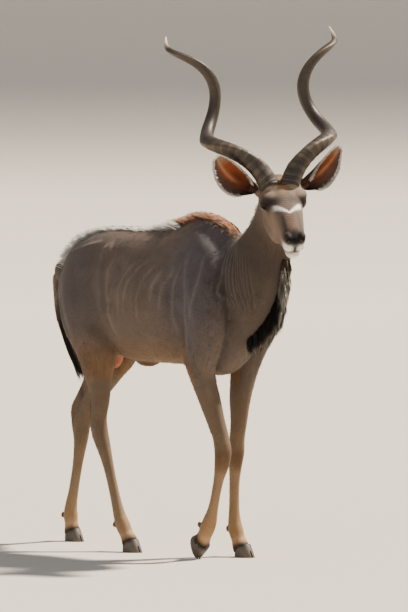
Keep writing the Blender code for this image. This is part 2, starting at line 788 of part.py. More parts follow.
def nostril(side):
    """A comma-shaped hole that runs up and in from the front of the muzzle."""
    centre = HEAD.on_face(side * 0.0270, 0.254, -0.002)
    inward = (HEAD.muzzle * 0.75 + HEAD.left * side * 0.55 + HEAD.brow * 0.1).normalized()
    across = inward.cross(HEAD.brow).normalized()
    return blob("nostril", centre, (0.0105, 0.014, 0.0135), (across, inward, across.cross(inward)), 12)


def mouth_slit():
    """A thin curved blade that follows the line of the mouth, clear of the head's middle."""
    line = [(0.148, -0.079), (0.180, -0.073), (0.210, -0.070), (0.238, -0.064), (0.285, -0.057)]
    half_gap, depth = 0.0011, 0.0055
    points, faces = [], []
    inner = [(0.049 - depth), (0.0465 - depth), (0.044 - depth), (0.040 - depth), (0.014)]
    for side in (1, -1):
        for (along, above), core in zip(line, inner):
            for across in (core, 0.065):
                for rise in (half_gap, -half_gap):
                    lean = 0 if along > 0.15 else half_gap * 0.8
                    points.append(HEAD.on_face(side * across, along, above + rise - math.copysign(lean, rise)))
    for start in (0, 20):
        for k in range(4):
            a, b = start + 4 * k, start + 4 * (k + 1)
            faces += [(a, a + 1, b + 1, b), (a + 2, b + 2, b + 3, a + 3)]
            faces += [(a, b, b + 2, a + 2), (a + 1, a + 3, b + 3, b + 1)]
        faces += [(start, start + 2, start + 3, start + 1)]
        end = start + 16
        faces += [(end, end + 1, end + 3, end + 2)]
    obj = mesh_object("mouth", points, faces)
    face_outwards(obj.data)
    return obj


# Eyes, horns, ears and hooves


def eye(name, side, radius=EYE_RADIUS):
    across, along, above = EYE_PLACE
    return blob(name, HEAD.on_face(side * across, along, above), (radius,) * 3, face_axes(), 12)


def eye_opening(side):
    """An almond-shaped prism, slanted down to the inner corner, that bares the eyeball."""
    centre = HEAD.on_face(side * EYE_PLACE[0], *EYE_PLACE[1:])
    half_length, half_height = EYE_OPENING
    rings = []
    for depth in (0.000, 0.060):
        ring = []
        for k in range(16):
            angle = 2 * math.pi * k / 16
            a = half_length * math.cos(angle)
            b = half_height * math.copysign(abs(math.sin(angle)) ** 1.25, math.sin(angle))
            forward = a * math.cos(EYE_SLANT) + b * math.sin(EYE_SLANT)
            upward = b * math.cos(EYE_SLANT) - a * math.sin(EYE_SLANT)
            out = HEAD.left * side * math.cos(EYE_TURN) + HEAD.muzzle * math.sin(EYE_TURN)
            ahead = HEAD.muzzle * math.cos(EYE_TURN) - HEAD.left * side * math.sin(EYE_TURN)
            ring.append(centre + out * (depth + 0.006) + ahead * forward + HEAD.brow * upward)
        rings.append(ring)
    return loft_rings("lids", rings)


def horn_centre(side, t):
    """The middle line of a horn, t from 0 at the brow to 1 at the tip."""
    lean, splay = HORN_LEAN, HORN_SPLAY
    axis = np.array((math.sin(splay), -math.cos(splay) * math.cos(lean), math.cos(splay) * math.sin(lean)))
    first = np.array((math.cos(splay), math.sin(splay) * math.cos(lean), -math.sin(splay) * math.sin(lean)))
    second = np.cross(axis, first)
    at_root, at_tip, bulge = HORN_COIL

    def swing(radius, phase):
        return radius * (math.cos(phase) * first + math.sin(phase) * second)

    radius = at_root * (1 - t) + at_tip * t + 4 * bulge * t * (1 - t)
    phase = HORN_FIRST_PHASE + 2 * math.pi * HORN_TURNS * max(t, 0) ** HORN_PACE
    place = np.array((HORN_APART, 0, HORN_ABOVE)) + HORN_RISE * t * axis
    place += swing(radius, phase) - swing(at_root, HORN_FIRST_PHASE)
    return HORN_ROOT + HEAD.level(side * place[0], place[1], place[2])


def horn_outward(side, t):
    """Away from the corkscrew's axis, which is where the keel runs."""
    step = 0.06
    before, after = horn_centre(side, max(t - step, 0)), horn_centre(side, t + step)
    return (horn_centre(side, t) - (before + after) / 2).normalized()


def horn(name, side, grow=0.0, ringed=True):
    """A tapering spiral with a keel and growth rings; `grow` makes its seat."""
    ringed_rows = 2 * HORN_RINGS
    places = [HORN_START - grow] if grow else [HORN_START]
    places += [HORN_RINGED_PART * k / ringed_rows for k in range(ringed_rows)]
    smooth_part = HORN_END - HORN_RINGED_PART
    places += [HORN_RINGED_PART + smooth_part * k / HORN_SMOOTH_STATIONS
               for k in range(HORN_SMOOTH_STATIONS + 1)]
    if grow:
        places = [t for t in places if t < 0.2]
    rings = []
    for row, t in enumerate(places):
        centre = horn_centre(side, t)
        along = (horn_centre(side, t + 0.01) - horn_centre(side, t - 0.01)).normalized()
        outward = horn_outward(side, max(t, 0.07))
        outward = (outward - along * outward.dot(along)).normalized()
        across = along.cross(outward)
        radius = np.interp(t, *zip(*HORN_RADIUS)) + grow
        if ringed and row % 2 and t < HORN_RINGED_PART:
            radius += HORN_RING_HEIGHT
        ring = []
        for k in range(HORN_SIDES):
            angle = 2 * math.pi * k / HORN_SIDES
            keel = 1 + HORN_KEEL * math.exp(-((min(angle, 2 * math.pi - angle) / 0.5) ** 2))
            ring.append(centre + (outward * math.cos(angle) + across * math.sin(angle)) * radius * keel)
        rings.append(ring)
    return loft_rings(name, rings)


def ear_axes(side):
    """Along the ear, towards where its cup opens, and across it."""
    out, ahead, up = EAR_AXIS[side]
    along = HEAD.level(side * out, ahead, up).normalized()
    turn = EAR_OPENS[side]
    opening = HEAD.level(side * math.sin(turn), math.cos(turn), 0)
    opening = (opening - along * opening.dot(along)).normalized()
    across = along.cross(opening)
    if across.z > 0:
        across.negate()
    return along, opening, across


def ear_axis_point(side, distance):
    return HEAD.on_face(side * EAR_ROOT[0], *EAR_ROOT[1:]) + ear_axes(side)[0] * distance


# place along the ear, radius of the curl and its half-angle
EAR_CURL = (
    (0.10, 0.0215, 150), (0.20, 0.033, 135), (0.32, 0.050, 100), (0.46, 0.066, 74),
    (0.60, 0.074, 60), (0.74, 0.076, 48), (0.86, 0.070, 36), (0.95, 0.052, 24), (1.0, 0.030, 8),
)


def ear(name, side):
    """A curled leaf with the cup's thickness, on a round stem."""
    along, opening, across = ear_axes(side)
    root = ear_axis_point(side, 0)
    columns = EAR_COLUMNS
    outer, inner = [], []
    for place, radius, half_angle in smooth_rows(EAR_CURL, 1):
        centre = root + along * EAR_LENGTH * place + across * EAR_BEND * math.sin(math.pi * place)
        for layer, thickness in ((outer, 0.0), (inner, EAR_THICKNESS)):
            row = []
            for k in range(columns + 1):
                share = 2 * k / columns - 1
                angle = math.radians(half_angle) * share
                rim = 1 - 0.75 * abs(share) ** 4
                r = radius - thickness * rim * (1 - 0.5 * place)
                row.append(
                    centre + across * r * math.sin(angle)
                    + opening * (radius * 0.9 - r * math.cos(angle) - 0.012)
                )
            layer.append(row)
    shell = plate_between(name, outer, inner)
    stem_rings = []
    for distance, radius in ((EAR_SEAT + GAP, 1.0), (0.035, 1.02), (0.052, 0.8)):
        centre = root + along * distance + across * distance * 0.3
        stem_rings.append([
            centre + (across * math.cos(2 * math.pi * k / 14) + opening * math.sin(2 * math.pi * k / 14))
            * EAR_STEM_RADIUS * radius for k in range(14)
        ])
    return keep_largest(boolean(shell, loft_rings("stem", stem_rings), "UNION"))


def plate_between(name, outer, inner):
    """A closed plate between two grids of points."""
    rows, columns = len(outer), len(outer[0])
    points = [p for row in outer for p in row] + [p for row in inner for p in row]
    shift = rows * columns
    faces = []
    for i in range(rows - 1):
        for k in range(columns - 1):
            a = i * columns + k
            quad = (a, a + 1, a + 1 + columns, a + columns)
            faces += [quad[:3], (quad[0], quad[2], quad[3])]
            faces += [tuple(shift + v for v in reversed(f)) for f in faces[-2:]]
    rim = [k for k in range(columns)] + [i * columns + columns - 1 for i in range(1, rows)]
    rim += [(rows - 1) * columns + k for k in range(columns - 2, -1, -1)]
    rim += [i * columns for i in range(rows - 2, 0, -1)]
    for a, b in zip(rim, rim[1:] + rim[:1]):
        faces += [(a, shift + a, shift + b), (a, shift + b, b)]
    obj = mesh_object(name, points, faces)
    face_outwards(obj.data)
    return obj


def ear_seat(side):
    """Clears the flesh round the foot of an ear's stem."""
    along, opening, across = ear_axes(side)
    root = ear_axis_point(side, 0)
    rings = []
    for distance in (EAR_SEAT, 0.09):
        rings.append([
            root + along * distance
            + (across * math.cos(2 * math.pi * k / 16) + opening * math.sin(2 * math.pi * k / 16)) * 0.040
            for k in range(16)
        ])
    return loft_rings("seat", rings)


def foot_place(name, x, y, z):
    """A point of a hoof's own frame in the world; a lifted foot turns about its coronet."""
    (fx, fy, fz), turn = FEET[name]
    if not turn:
        return Vector((fx + x, fy + y, z))
    y, z = y, z - (HOOF_TOP_FRONT + HOOF_TOP_BACK) / 2
    c, s = math.cos(turn), math.sin(turn)
    return Vector((fx + x, fy + y * c - z * s, fz + y * s + z * c))


def coronet_plane(name):
    """The plane where hair ends and horn begins: a point on it and its normal, up the leg."""
    front = foot_place(name, 0, -0.032, HOOF_TOP_FRONT)
    back = foot_place(name, 0, 0.034, HOOF_TOP_BACK)
    side = foot_place(name, 0.03, 0.034, HOOF_TOP_BACK)
    normal = (back - front).cross(side - back).normalized()
    upward = foot_place(name, 0, 0, 0.1) - foot_place(name, 0, 0, 0)
    if normal.dot(upward) < 0:
        normal.negate()
    return (front + back) / 2, normal


def hoof_ring(name, level):
    """One outline of the hoof, from 0 at the sole to 1 at the coronet."""
    toe = HOOF_TOE * (1 - level) - 0.032 * level
    heel = HOOF_HEEL * (1 - level) + 0.034 * level
    half = HOOF_HALF_WIDTH - 0.003 * level
    widest = -0.002
    ring = []
    for k in range(18):
        angle = 2 * math.pi * k / 18
        c, s = math.cos(angle), math.sin(angle)
        y = widest + (heel - widest) * s if s > 0 else widest + (widest - toe) * s
        x = half * math.copysign(abs(c) ** 0.85, c)
        top = HOOF_TOP_FRONT + (HOOF_TOP_BACK - HOOF_TOP_FRONT) * (y + 0.032) / 0.066
        ring.append(foot_place(name, x, y, top * level))
    return ring


def hoof(name, leg):
    """Two claws with a cleft between them, flat where they stand."""
    obj = loft_rings(name, [hoof_ring(leg, level) for level in (0, 0.35, 0.7, 1)])
    cleft = []
    for y, half in ((-0.09, HOOF_CLEFT), (0.012, 0.0008)):
        for x in (-half, half):
            for z in (-0.02, 0.036 if y < 0 else 0.012):
                cleft.append(foot_place(leg, x, y, z))
    faces = [(0, 1, 3, 2), (4, 6, 7, 5), (0, 4, 5, 1), (2, 3, 7, 6), (0, 2, 6, 4), (1, 5, 7, 3)]
    cutter = mesh_object("cleft", cleft, faces)
    face_outwards(cutter.data)
    boolean(obj, cutter, "DIFFERENCE")
    cut_below(obj, *coronet_plane(leg))
    if FEET[leg][1]:
        plane_side(obj.data, Vector((0, 0, 0)), Vector((0, 0, 1)), True)
    return keep_largest(obj)


# Hair, as flat tapered locks along its lie


def tree_of(obj):
    bm = bmesh.new()
    bm.from_mesh(obj.data)
    tree = BVHTree.FromBMesh(bm)
    bm.free()
    return tree


def skin_point(tree, start, direction):
    """Where a ray meets the skin, and the skin's normal there."""
    place, normal, _, _ = tree.ray_cast(Vector(start), Vector(direction).normalized())
    return place, normal


def lock(root, normal, leaves, ends, length, width, thickness, flat_side, profile=LONG_LOCK):
    """A lock that leaves the skin one way and ends another, with its flat sides facing `flat_side`."""
    foot = root - normal * LOCK_ROOT_DEPTH
    knee = root + leaves.normalized() * length * 0.5
    tip = root + (leaves.normalized() * 0.45 + ends.normalized() * 0.55) * length
    rings = []
    for s, share in profile:
        centre = foot * (1 - s) ** 2 + knee * 2 * s * (1 - s) + tip * s * s
        along = ((knee - foot) * (1 - s) + (tip - knee) * s).normalized()
        depth = (flat_side - along * flat_side.dot(along)).normalized()
        wide = along.cross(depth) * width * share / 2
        deep = depth * thickness * (0.35 + 0.65 * share) / 2
        rings.append([centre + wide, centre + deep, centre - wide, centre - deep])
    return loft_rings("lock", rings)


def add_locks(obj, locks):
    """Joins all of a node's locks to it with one union."""
    collection = bpy.data.collections.new("locks")
    for piece in locks:
        bpy.context.scene.collection.objects.unlink(piece)
        collection.objects.link(piece)
    bpy.context.scene.collection.children.link(collection)
    modifier = obj.modifiers.new("locks", "BOOLEAN")
    modifier.operation = "UNION"
    modifier.operand_type = "COLLECTION"
    modifier.collection = collection
    modifier.solver = "EXACT"
    bake(obj)
    for piece in list(collection.objects):
        bpy.data.objects.remove(piece)
    bpy.data.collections.remove(collection)


def even(first, last, count):
    return [first + (last - first) * k / (count - 1) for k in range(count)]


def jitter(rng, amount):
    return Vector([rng.uniform(-amount, amount) for _ in range(3)])


def back_crest(tree, rng, first, last, count, length, rise):
    """Two staggered rows along the spine, swept back."""
    locks = []
    for k, y in enumerate(even(first, last, count)):
        side = 1 if k % 2 else -1
        place, normal = skin_point(tree, (side * 0.008, y + rng.uniform(-0.004, 0.004), 2), (0, 0, -1))
        leaves = Vector((side * 0.12, 0.75, rise)) + jitter(rng, 0.10)
        ends = Vector((side * 0.05, 1.0, 0.15 * rise))
        flat_side = Vector((1, 0, 0.25 * side)) + jitter(rng, 0.12)
        size = length * rng.uniform(0.85, 1.15)
        locks.append(lock(place, normal, leaves, ends, size, 0.050, 0.014, flat_side, SHORT_LOCK))
    return locks


def nape_mane(tree, rng):
    """A short mane from the withers up the back of the neck."""
    locks = []
    for k, u in enumerate(even(0.10, 0.92, NAPE_LOCKS)):
        side = 1 if k % 2 else -1
        guess = Vector((-0.007 + side * 0.007, -0.60, 1.24)).lerp(Vector((-0.008, -0.79, 1.52)), u)
        place, normal = skin_point(tree, guess + Vector((0, 0.25, 0.20)), (0, -0.78, -0.62))
        leaves = normal + Vector((side * 0.2, 0.35, -0.55)) + jitter(rng, 0.12)
        ends = Vector((0, 0.25, -1.0))
        flat_side = Vector((1, 0, 0)) + jitter(rng, 0.15)
        locks.append(lock(place, normal, leaves, ends, 0.060, 0.044, 0.013, flat_side, SHORT_LOCK))
    return locks


def throat_fringe(tree, rng):
    """Three rows of long locks that hang from the throat to the brisket."""
    locks = []
    for row, across in enumerate((-0.022, 0.022, 0.0)):
        for k, u in enumerate(even(0.0, 1.0, FRINGE_LOCKS)):
            u = min(1, u + (0.04 if row == 2 else 0) + rng.uniform(-0.012, 0.012))
            height = FRINGE_TOP + (FRINGE_BOTTOM - FRINGE_TOP) * u
            place, normal = skin_point(tree, (across - 0.003, -2, height), (0, 1, 0))
            length = np.interp(u, (0, 0.15, 0.6, 1), FRINGE_LENGTHS) * rng.uniform(0.88, 1.12)
            leaves = Vector((across * 6, -0.42 - 0.15 * (row == 2), -0.80)) + jitter(rng, 0.08)
            ends = Vector((-across * 3, 0.10 + 0.35 * u, -1.0))
            flat_side = Vector((1, 0.35 * (across > 0) - 0.35 * (across < 0), 0)) + jitter(rng, 0.15)
            locks.append(lock(place, normal, leaves, ends, length, 0.044, 0.013, flat_side))
    return locks


def tail_brush():
    """Locks down the tail, longest at its tip."""
    locks = []
    path = smooth_rows([s[:3] for s in TAIL], 4)
    for k, u in enumerate(even(0.22, 1.0, TAIL_LOCKS)):
        row = u * (len(path) - 1)
        index = min(int(row), len(path) - 2)
        here, after = Vector(path[index]), Vector(path[index + 1])
        centre = here.lerp(after, row - index)
        along = (after - here).normalized()
        turn = 2.4 * k
        out = Vector((math.cos(turn), math.sin(turn), 0))
        out = (out - along * out.dot(along)).normalized()
        length = 0.055 + 0.055 * u
        leaves = along + out * 0.22
        locks.append(lock(centre + out * 0.006, out, leaves, along, length, 0.030, 0.011, out))
    return locks


def grow_hair(nodes):
    rng = random.Random(SEED)
    torso, neck_node, tail = nodes["torso"], nodes["neck"], nodes["tail"]
    tree = tree_of(torso)
    hump = back_crest(tree, rng, *HUMP_CREST)
    add_locks(torso, back_crest(tree, rng, *SPINE_CREST) + hump)
    tree = tree_of(neck_node)
    add_locks(neck_node, nape_mane(tree, rng) + throat_fringe(tree, rng))
    add_locks(tail, tail_brush())
    cut_above(neck_node, *NECK_BASE)
    cut_below(torso, *NECK_BASE)
    cut_below(neck_node, NECK_TOP[0], -NECK_TOP[1])
    for obj in (torso, neck_node, tail):
        keep_largest(obj)


def paint(obj, colour, roughness):
    """One plain material of its own for each node."""
    material = bpy.data.materials.new(obj.name)
    material.use_nodes = True
    shader = material.node_tree.nodes["Principled BSDF"]
    shader.inputs["Base Color"].default_value = (*colour, 1)
    shader.inputs["Roughness"].default_value = roughness
    obj.data.materials.clear()
    obj.data.materials.append(material)
    obj.data.shade_smooth()
    obj.data.set_sharp_from_angle(angle=math.radians(50))


COAT = (0.22, 0.16, 0.12)
HORN = (0.10, 0.07, 0.05)
HOOF = (0.06, 0.05, 0.045)
EYE = (0.012, 0.008, 0.006)


def build():
    clear_scene()
    body = fuse("body", flesh_of_the_body(), SKIN_VOXEL)
    soften(body, body_softness, 24)
    sculpt(body, body_strokes())
    decimate(body, FLESH_TRIANGLES["body"])
    flesh = fuse("head flesh", flesh_of_the_head(), HEAD_VOXEL)
    soften(flesh, head_softness, 8)
    decimate(flesh, FLESH_TRIANGLES["head"])
    coats = body_nodes(body) + [head_node(flesh)]
    grow_hair({obj.name: obj for obj in coats})
    for obj in coats:
        paint(obj, COAT, 0.8)
    for side, word in ((1, "left"), (-1, "right")):
        paint(eye(f"eye_{word}", side), EYE, 0.05)
        paint(horn(f"horn_{word}", side), HORN, 0.5)
        paint(ear(f"ear_{word}", side), COAT, 0.8)
    for leg in FEET:
        paint(hoof(leg.replace("leg", "hoof"), leg), HOOF, 0.5)
    for obj in bpy.context.scene.objects:
        obj.data.transform(Matrix.Translation(ORIGIN_SHIFT))
        obj.data.update()


build()
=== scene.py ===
"""How the greater kudu bull looks: skin, coat, horns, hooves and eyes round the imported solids.

Metres, +Z up. Shapes are made where the bull was first laid out, and moved by ORIGIN_SHIFT at the end.
"""

import math

import bmesh
import bpy
import numpy as np
from mathutils import Matrix, Vector
from mathutils.bvhtree import BVHTree
from mathutils.geometry import barycentric_transform


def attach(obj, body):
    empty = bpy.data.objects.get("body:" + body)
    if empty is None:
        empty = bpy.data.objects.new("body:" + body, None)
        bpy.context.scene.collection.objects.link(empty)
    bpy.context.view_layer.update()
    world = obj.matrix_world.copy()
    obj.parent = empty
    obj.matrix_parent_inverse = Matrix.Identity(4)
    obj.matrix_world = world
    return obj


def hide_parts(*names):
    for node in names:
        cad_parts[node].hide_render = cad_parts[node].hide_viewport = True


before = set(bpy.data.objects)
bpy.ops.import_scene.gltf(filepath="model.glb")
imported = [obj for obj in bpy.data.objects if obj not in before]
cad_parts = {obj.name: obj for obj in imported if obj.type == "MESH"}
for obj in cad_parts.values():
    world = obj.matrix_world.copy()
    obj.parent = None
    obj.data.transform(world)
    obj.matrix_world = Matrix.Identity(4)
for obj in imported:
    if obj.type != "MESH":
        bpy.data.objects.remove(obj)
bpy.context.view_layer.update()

# Finer than the solids: the grid of the skin, and the triangles it keeps.
SKIN_VOXEL = 0.0050
HEAD_VOXEL = 0.0023
SKIN_TRIANGLES = {"body": 98000, "head": 92000}
UNWRAP_TRIANGLES = 12000
# How many times each part of the skin is smoothed.
SMOOTHING = {"body": 44, "shoulder": 110, "head": 14, "brow": 50, "join": 24}
SEED = 11
GAP = 0.0003
ORIGIN_SHIFT = Vector((-0.0881, 0.2141, 0.0))
RIBS = 7
RIB_FIRST = -0.29
RIB_SPACING = 0.045
# The head: where the midpoint of the eyes is, and how the head is held.
EYES_MIDPOINT = Vector((-0.05, -0.934, 1.443))
HEAD_TURN = math.radians(28)
HEAD_DROP = math.radians(35)
HEAD_TILT = math.radians(3.7)
EYE_RADIUS = 0.0205
EYE_PLACE = (0.0715, 0.004, 0.001)
EYE_OPENING = (0.0180, 0.0125)
EYE_SLANT = math.radians(14)
EYE_TURN = math.radians(38)
# The horns: an open corkscrew about an axis that leans out and back.
HORN_ROOT = Vector((-0.05, -0.913, 1.500))
HORN_APART = 0.045
HORN_ABOVE = 0.008
HORN_RISE = 0.872
HORN_SPLAY = math.radians(15)
HORN_LEAN = math.radians(55)
HORN_FIRST_PHASE = math.radians(-198.9)
HORN_TURNS = -1.695
HORN_PACE = 1.2
HORN_COIL = (0.064, 0.032, 0.014)
HORN_RADIUS = ((-0.02, 0.037), (0.1, 0.0325), (0.25, 0.0290), (0.45, 0.0262),
               (0.62, 0.0212), (0.78, 0.0150), (0.9, 0.0095), (0.97, 0.0040))
HORN_END = 0.962
HORN_START = -0.015
HORN_RINGS = 13
HORN_RINGED_PART = 0.42
HORN_RING_HEIGHT = 0.0016
HORN_KEEL = 0.24
# The ears: a leaf-shaped cup on a short stem, each with its own direction.
EAR_LENGTH = 0.245
EAR_ROOT = (0.068, -0.104, -0.010)
EAR_BEND = 0.028
EAR_AXIS = {1: (0.790, 0.126, 0.600), -1: (0.759, 0.304, 0.577)}
EAR_OPENS = {1: math.radians(48), -1: math.radians(36)}
EAR_THICKNESS = 0.0048
EAR_STEM_RADIUS = 0.0235
EAR_SEAT = 0.014
EAR_COLUMNS = 7
# How deep the ear's cup lies: a share of its radius, less a little.
CUP_DEPTH = 0.9
CUP_SHIFT = 0.012
# Hooves, in their own frame: the ground under the coronet, with +Y to the heel.
HOOF_TOE = -0.066
HOOF_HEEL = 0.031
HOOF_HALF_WIDTH = 0.0335
HOOF_TOP_FRONT = 0.056
HOOF_TOP_BACK = 0.031
HOOF_TOP_TOE = -0.032
HOOF_TOP_HEEL = 0.034
HOOF_CLEFT = 0.0045
FEET = {
    "foreleg_left": ((0.090, -0.498, 0.0), 0.0),
    "foreleg_right": ((-0.100, -0.482, 0.0712), math.radians(80)),
    "hindleg_left": ((0.090, 0.652, 0.0), 0.0),
    "hindleg_right": ((-0.100, 0.002, 0.0), 0.0),
}


# Axes of the head, and mesh helpers


def horizontal(turn):
    """The direction of a head turned to its right by `turn`."""
    return Vector((-math.sin(turn), -math.cos(turn), 0))


class HeadFrame:
    """Axes of the head: `left`, `ahead` and `up` while level, `muzzle` and `brow` once it is dropped."""

    def __init__(self):
        side = Vector((math.cos(HEAD_TURN), -math.sin(HEAD_TURN), 0))
        rise = Vector((0, 0, 1))
        self.ahead = horizontal(HEAD_TURN)
        self.left = side * math.cos(HEAD_TILT) + rise * math.sin(HEAD_TILT)
        self.up = rise * math.cos(HEAD_TILT) - side * math.sin(HEAD_TILT)
        self.muzzle = self.ahead * math.cos(HEAD_DROP) - self.up * math.sin(HEAD_DROP)
        self.brow = self.up * math.cos(HEAD_DROP) + self.ahead * math.sin(HEAD_DROP)

    def on_face(self, across, along, above):
        """A point by its distance to the left, towards the nose and above the eyes."""
        return EYES_MIDPOINT + self.left * across + self.muzzle * along + self.brow * above

    def level(self, across, forward, above):
        """A direction or offset in the head's level axes."""
        return self.left * across + self.ahead * forward + self.up * above


HEAD = HeadFrame()


def link(name, mesh):
    obj = bpy.data.objects.new(name, mesh)
    bpy.context.scene.collection.objects.link(obj)
    return obj


def mesh_object(name, points, faces):
    mesh = bpy.data.meshes.new(name)
    mesh.from_pydata([tuple(p) for p in points], [], faces)
    mesh.validate()
    return link(name, mesh)


def smooth_rows(rows, steps):
    """Rows of numbers made finer with a Catmull-Rom spline through them."""
    rows = np.array(rows, float)
    ends = np.vstack([2 * rows[0] - rows[1], rows, 2 * rows[-1] - rows[-2]])
    fine = []
    for i in range(1, len(ends) - 2):
        a, b, c, d = ends[i - 1 : i + 3]
        for t in np.arange(steps) / steps:
            fine.append(
                0.5 * (2 * b + (c - a) * t + (2 * a - 5 * b + 4 * c - d) * t * t
                       + (3 * b - a - 3 * c + d) * t ** 3)
            )
    fine.append(rows[-1])
    return np.array(fine)


def turns(count):
    """Equal steps round a circle."""
    return [2 * math.pi * k / count for k in range(count)]


def section(side, upper, under, sharp_up, sharp_down, count):
    """A ring in (across, up): a superellipse whose halves have their own height and squareness."""
    points = []
    for angle in turns(count):
        c, s = math.cos(angle), math.sin(angle)
        power = 2 / (sharp_up if s >= 0 else sharp_down)
        height = upper if s >= 0 else under
        points.append(
            (side * math.copysign(abs(c) ** power, c), height * math.copysign(abs(s) ** power, s))
        )
    return points


def loft_rings(name, rings):
    """A closed mesh through rings of equal length, with a fan at each end."""
    count = len(rings[0])
    points = [p for ring in rings for p in ring]
    faces = []
    for i in range(len(rings) - 1):
        for k in range(count):
            a, b = i * count + k, i * count + (k + 1) % count
            faces.append((a, b, b + count, a + count))
    for ring_start, turned in ((0, True), ((len(rings) - 1) * count, False)):
        middle = sum((Vector(points[ring_start + k]) for k in range(count)), Vector()) / count
        points.append(middle)
        for k in range(count):
            a, b = ring_start + k, ring_start + (k + 1) % count
            faces.append((b, a, len(points) - 1) if turned else (a, b, len(points) - 1))
    obj = mesh_object(name, points, faces)
    face_outwards(obj.data)
    return obj


def face_outwards(mesh):
    bm = bmesh.new()
    bm.from_mesh(mesh)
    bmesh.ops.recalc_face_normals(bm, faces=bm.faces)
    if bm.calc_volume(signed=True) < 0:
        bmesh.ops.reverse_faces(bm, faces=bm.faces)
    bm.to_mesh(mesh)
    bm.free()


def loft(name, stations, count, across=Vector((1, 0, 0)), steps=4):
    """A limb or trunk through stations (x, y, z, side, upper, under, sharp_up, sharp_down).

    `upper` is the half-depth on the front of a leg, the back of the trunk, the nape and the brow.
    """
    rows = smooth_rows([tuple(s) + (2, 2)[: 8 - len(s)] for s in stations], steps)
    centres = [Vector(r[:3]) for r in rows]
    rings = []
    for i, row in enumerate(rows):
        along = (centres[min(i + 1, len(rows) - 1)] - centres[max(i - 1, 0)]).normalized()
        upward = along.cross(across).normalized()
        outward = upward.cross(along).normalized()
        if outward.dot(across) < 0:
            outward.negate()
        rings.append(
            [centres[i] + outward * c + upward * u for c, u in section(*row[3:8], count)]
        )
    return loft_rings(name, rings)


def blob(name, centre, radii, axes=None, segments=20):
    """An ellipsoid; `axes` are its three directions."""
    x, y, z = axes or (Vector((1, 0, 0)), Vector((0, 1, 0)), Vector((0, 0, 1)))
    mesh = bpy.data.meshes.new(name)
    bm = bmesh.new()
    bmesh.ops.create_uvsphere(bm, u_segments=segments, v_segments=segments // 2, radius=1)
    for v in bm.verts:
        v.co = Vector(centre) + x * v.co.x * radii[0] + y * v.co.y * radii[1] + z * v.co.z * radii[2]
    bm.to_mesh(mesh)
    bm.free()
    face_outwards(mesh)
    return link(name, mesh)


def bake(obj):
    """Replaces an object's mesh by what its modifiers make of it."""
    graph = bpy.context.evaluated_depsgraph_get()
    mesh = bpy.data.meshes.new_from_object(obj.evaluated_get(graph))
    obj.modifiers.clear()
    obj.data = mesh
    return obj


def fuse(name, pieces, voxel):
    """One closed skin round overlapping closed pieces."""
    bm = bmesh.new()
    for piece in pieces:
        bm.from_mesh(piece.data)
    mesh = bpy.data.meshes.new(name)
    bm.to_mesh(mesh)
    bm.free()
    for piece in pieces:
        bpy.data.objects.remove(piece)
    obj = link(name, mesh)
    remesh = obj.modifiers.new("fuse", "REMESH")
    remesh.mode = "VOXEL"
    remesh.voxel_size = voxel
    return bake(obj)


def coordinates(mesh):
    points = np.empty(len(mesh.vertices) * 3, np.float32)
    mesh.vertices.foreach_get("co", points)
    return points.reshape(-1, 3).astype(float)


def normals(mesh):
    values = np.empty(len(mesh.vertices) * 3, np.float32)
    mesh.vertex_normals.foreach_get("vector", values)
    return values.reshape(-1, 3).astype(float)


def soften(obj, weight_of, repeats):
    """Smooths a mesh, by each vertex's weight from 0 to 1."""
    weights = weight_of(coordinates(obj.data))
    group = obj.vertex_groups.new(name="soft")
    for level in range(1, 11):
        chosen = np.nonzero(np.round(weights * 10) == level)[0]
        if len(chosen):
            group.add(chosen.tolist(), level / 10, "REPLACE")
    smooth = obj.modifiers.new("soften", "SMOOTH")
    smooth.vertex_group = group.name
    smooth.factor = 0.5
    smooth.iterations = repeats
    bake(obj)
    obj.vertex_groups.clear()
    return obj


def decimate(obj, triangles):
    modifier = obj.modifiers.new("fewer", "DECIMATE")
    now = sum(len(p.vertices) - 2 for p in obj.data.polygons)
    modifier.ratio = min(1.0, triangles / now)
    modifier.use_collapse_triangulate = True
    return bake(obj)


def distance_to_line(points, line):
    """Distance of each point to a polyline, and how far along it from 0 to 1 its nearest place is."""
    best = np.full(len(points), 1e9)
    place = np.zeros(len(points))
    line = np.array(line, float)
    for i in range(len(line) - 1):
        a, d = line[i], line[i + 1] - line[i]
        t = np.clip((points - a) @ d / (d @ d), 0, 1)
        gap = np.linalg.norm(points - a - t[:, None] * d, axis=1)
        nearer = gap < best
        best[nearer] = gap[nearer]
        place[nearer] = (i + t[nearer]) / (len(line) - 1)
    return best, place


def displace(mesh, points):
    mesh.vertices.foreach_set("co", points.astype(np.float32).ravel())
    mesh.update()


def sculpt(obj, strokes):
    """Raises and lowers a skin on both flanks along strokes drawn in side view."""
    points, outward = coordinates(obj.data), normals(obj.data)
    moves = np.zeros(len(points))
    facing = np.clip(np.abs(outward[:, 0]) * 1.6 - 0.3, 0, 1)
    for line, width, height in strokes:
        gap, place = distance_to_line(points[:, 1:], line)
        fade = np.minimum(1, 5 * np.minimum(place, 1 - place) + 0.15)
        moves += height * np.exp(-((gap / width) ** 2)) * fade * facing
    displace(obj.data, points + outward * moves[:, None])
    return obj


def bisect(bm, point, normal, keep_above):
    """Cuts with a plane and leaves the cut open; what lies on the normal's side stays if keep_above."""
    geometry = bm.verts[:] + bm.edges[:] + bm.faces[:]
    bmesh.ops.bisect_plane(bm, geom=geometry, plane_co=point, plane_no=normal, dist=1e-6,
                           clear_inner=keep_above, clear_outer=not keep_above)


def plane_side(mesh, point, normal, keep_above):
    """Cuts a closed mesh with a plane and caps the cut."""
    bm = bmesh.new()
    bm.from_mesh(mesh)
    bisect(bm, point, normal, keep_above)
    rim = [e for e in bm.edges if e.is_boundary]
    bmesh.ops.holes_fill(bm, edges=rim)
    bmesh.ops.triangulate(bm, faces=bm.faces)
    bm.to_mesh(mesh)
    bm.free()
    face_outwards(mesh)


def copy_of(obj, name):
    return link(name, obj.data.copy())


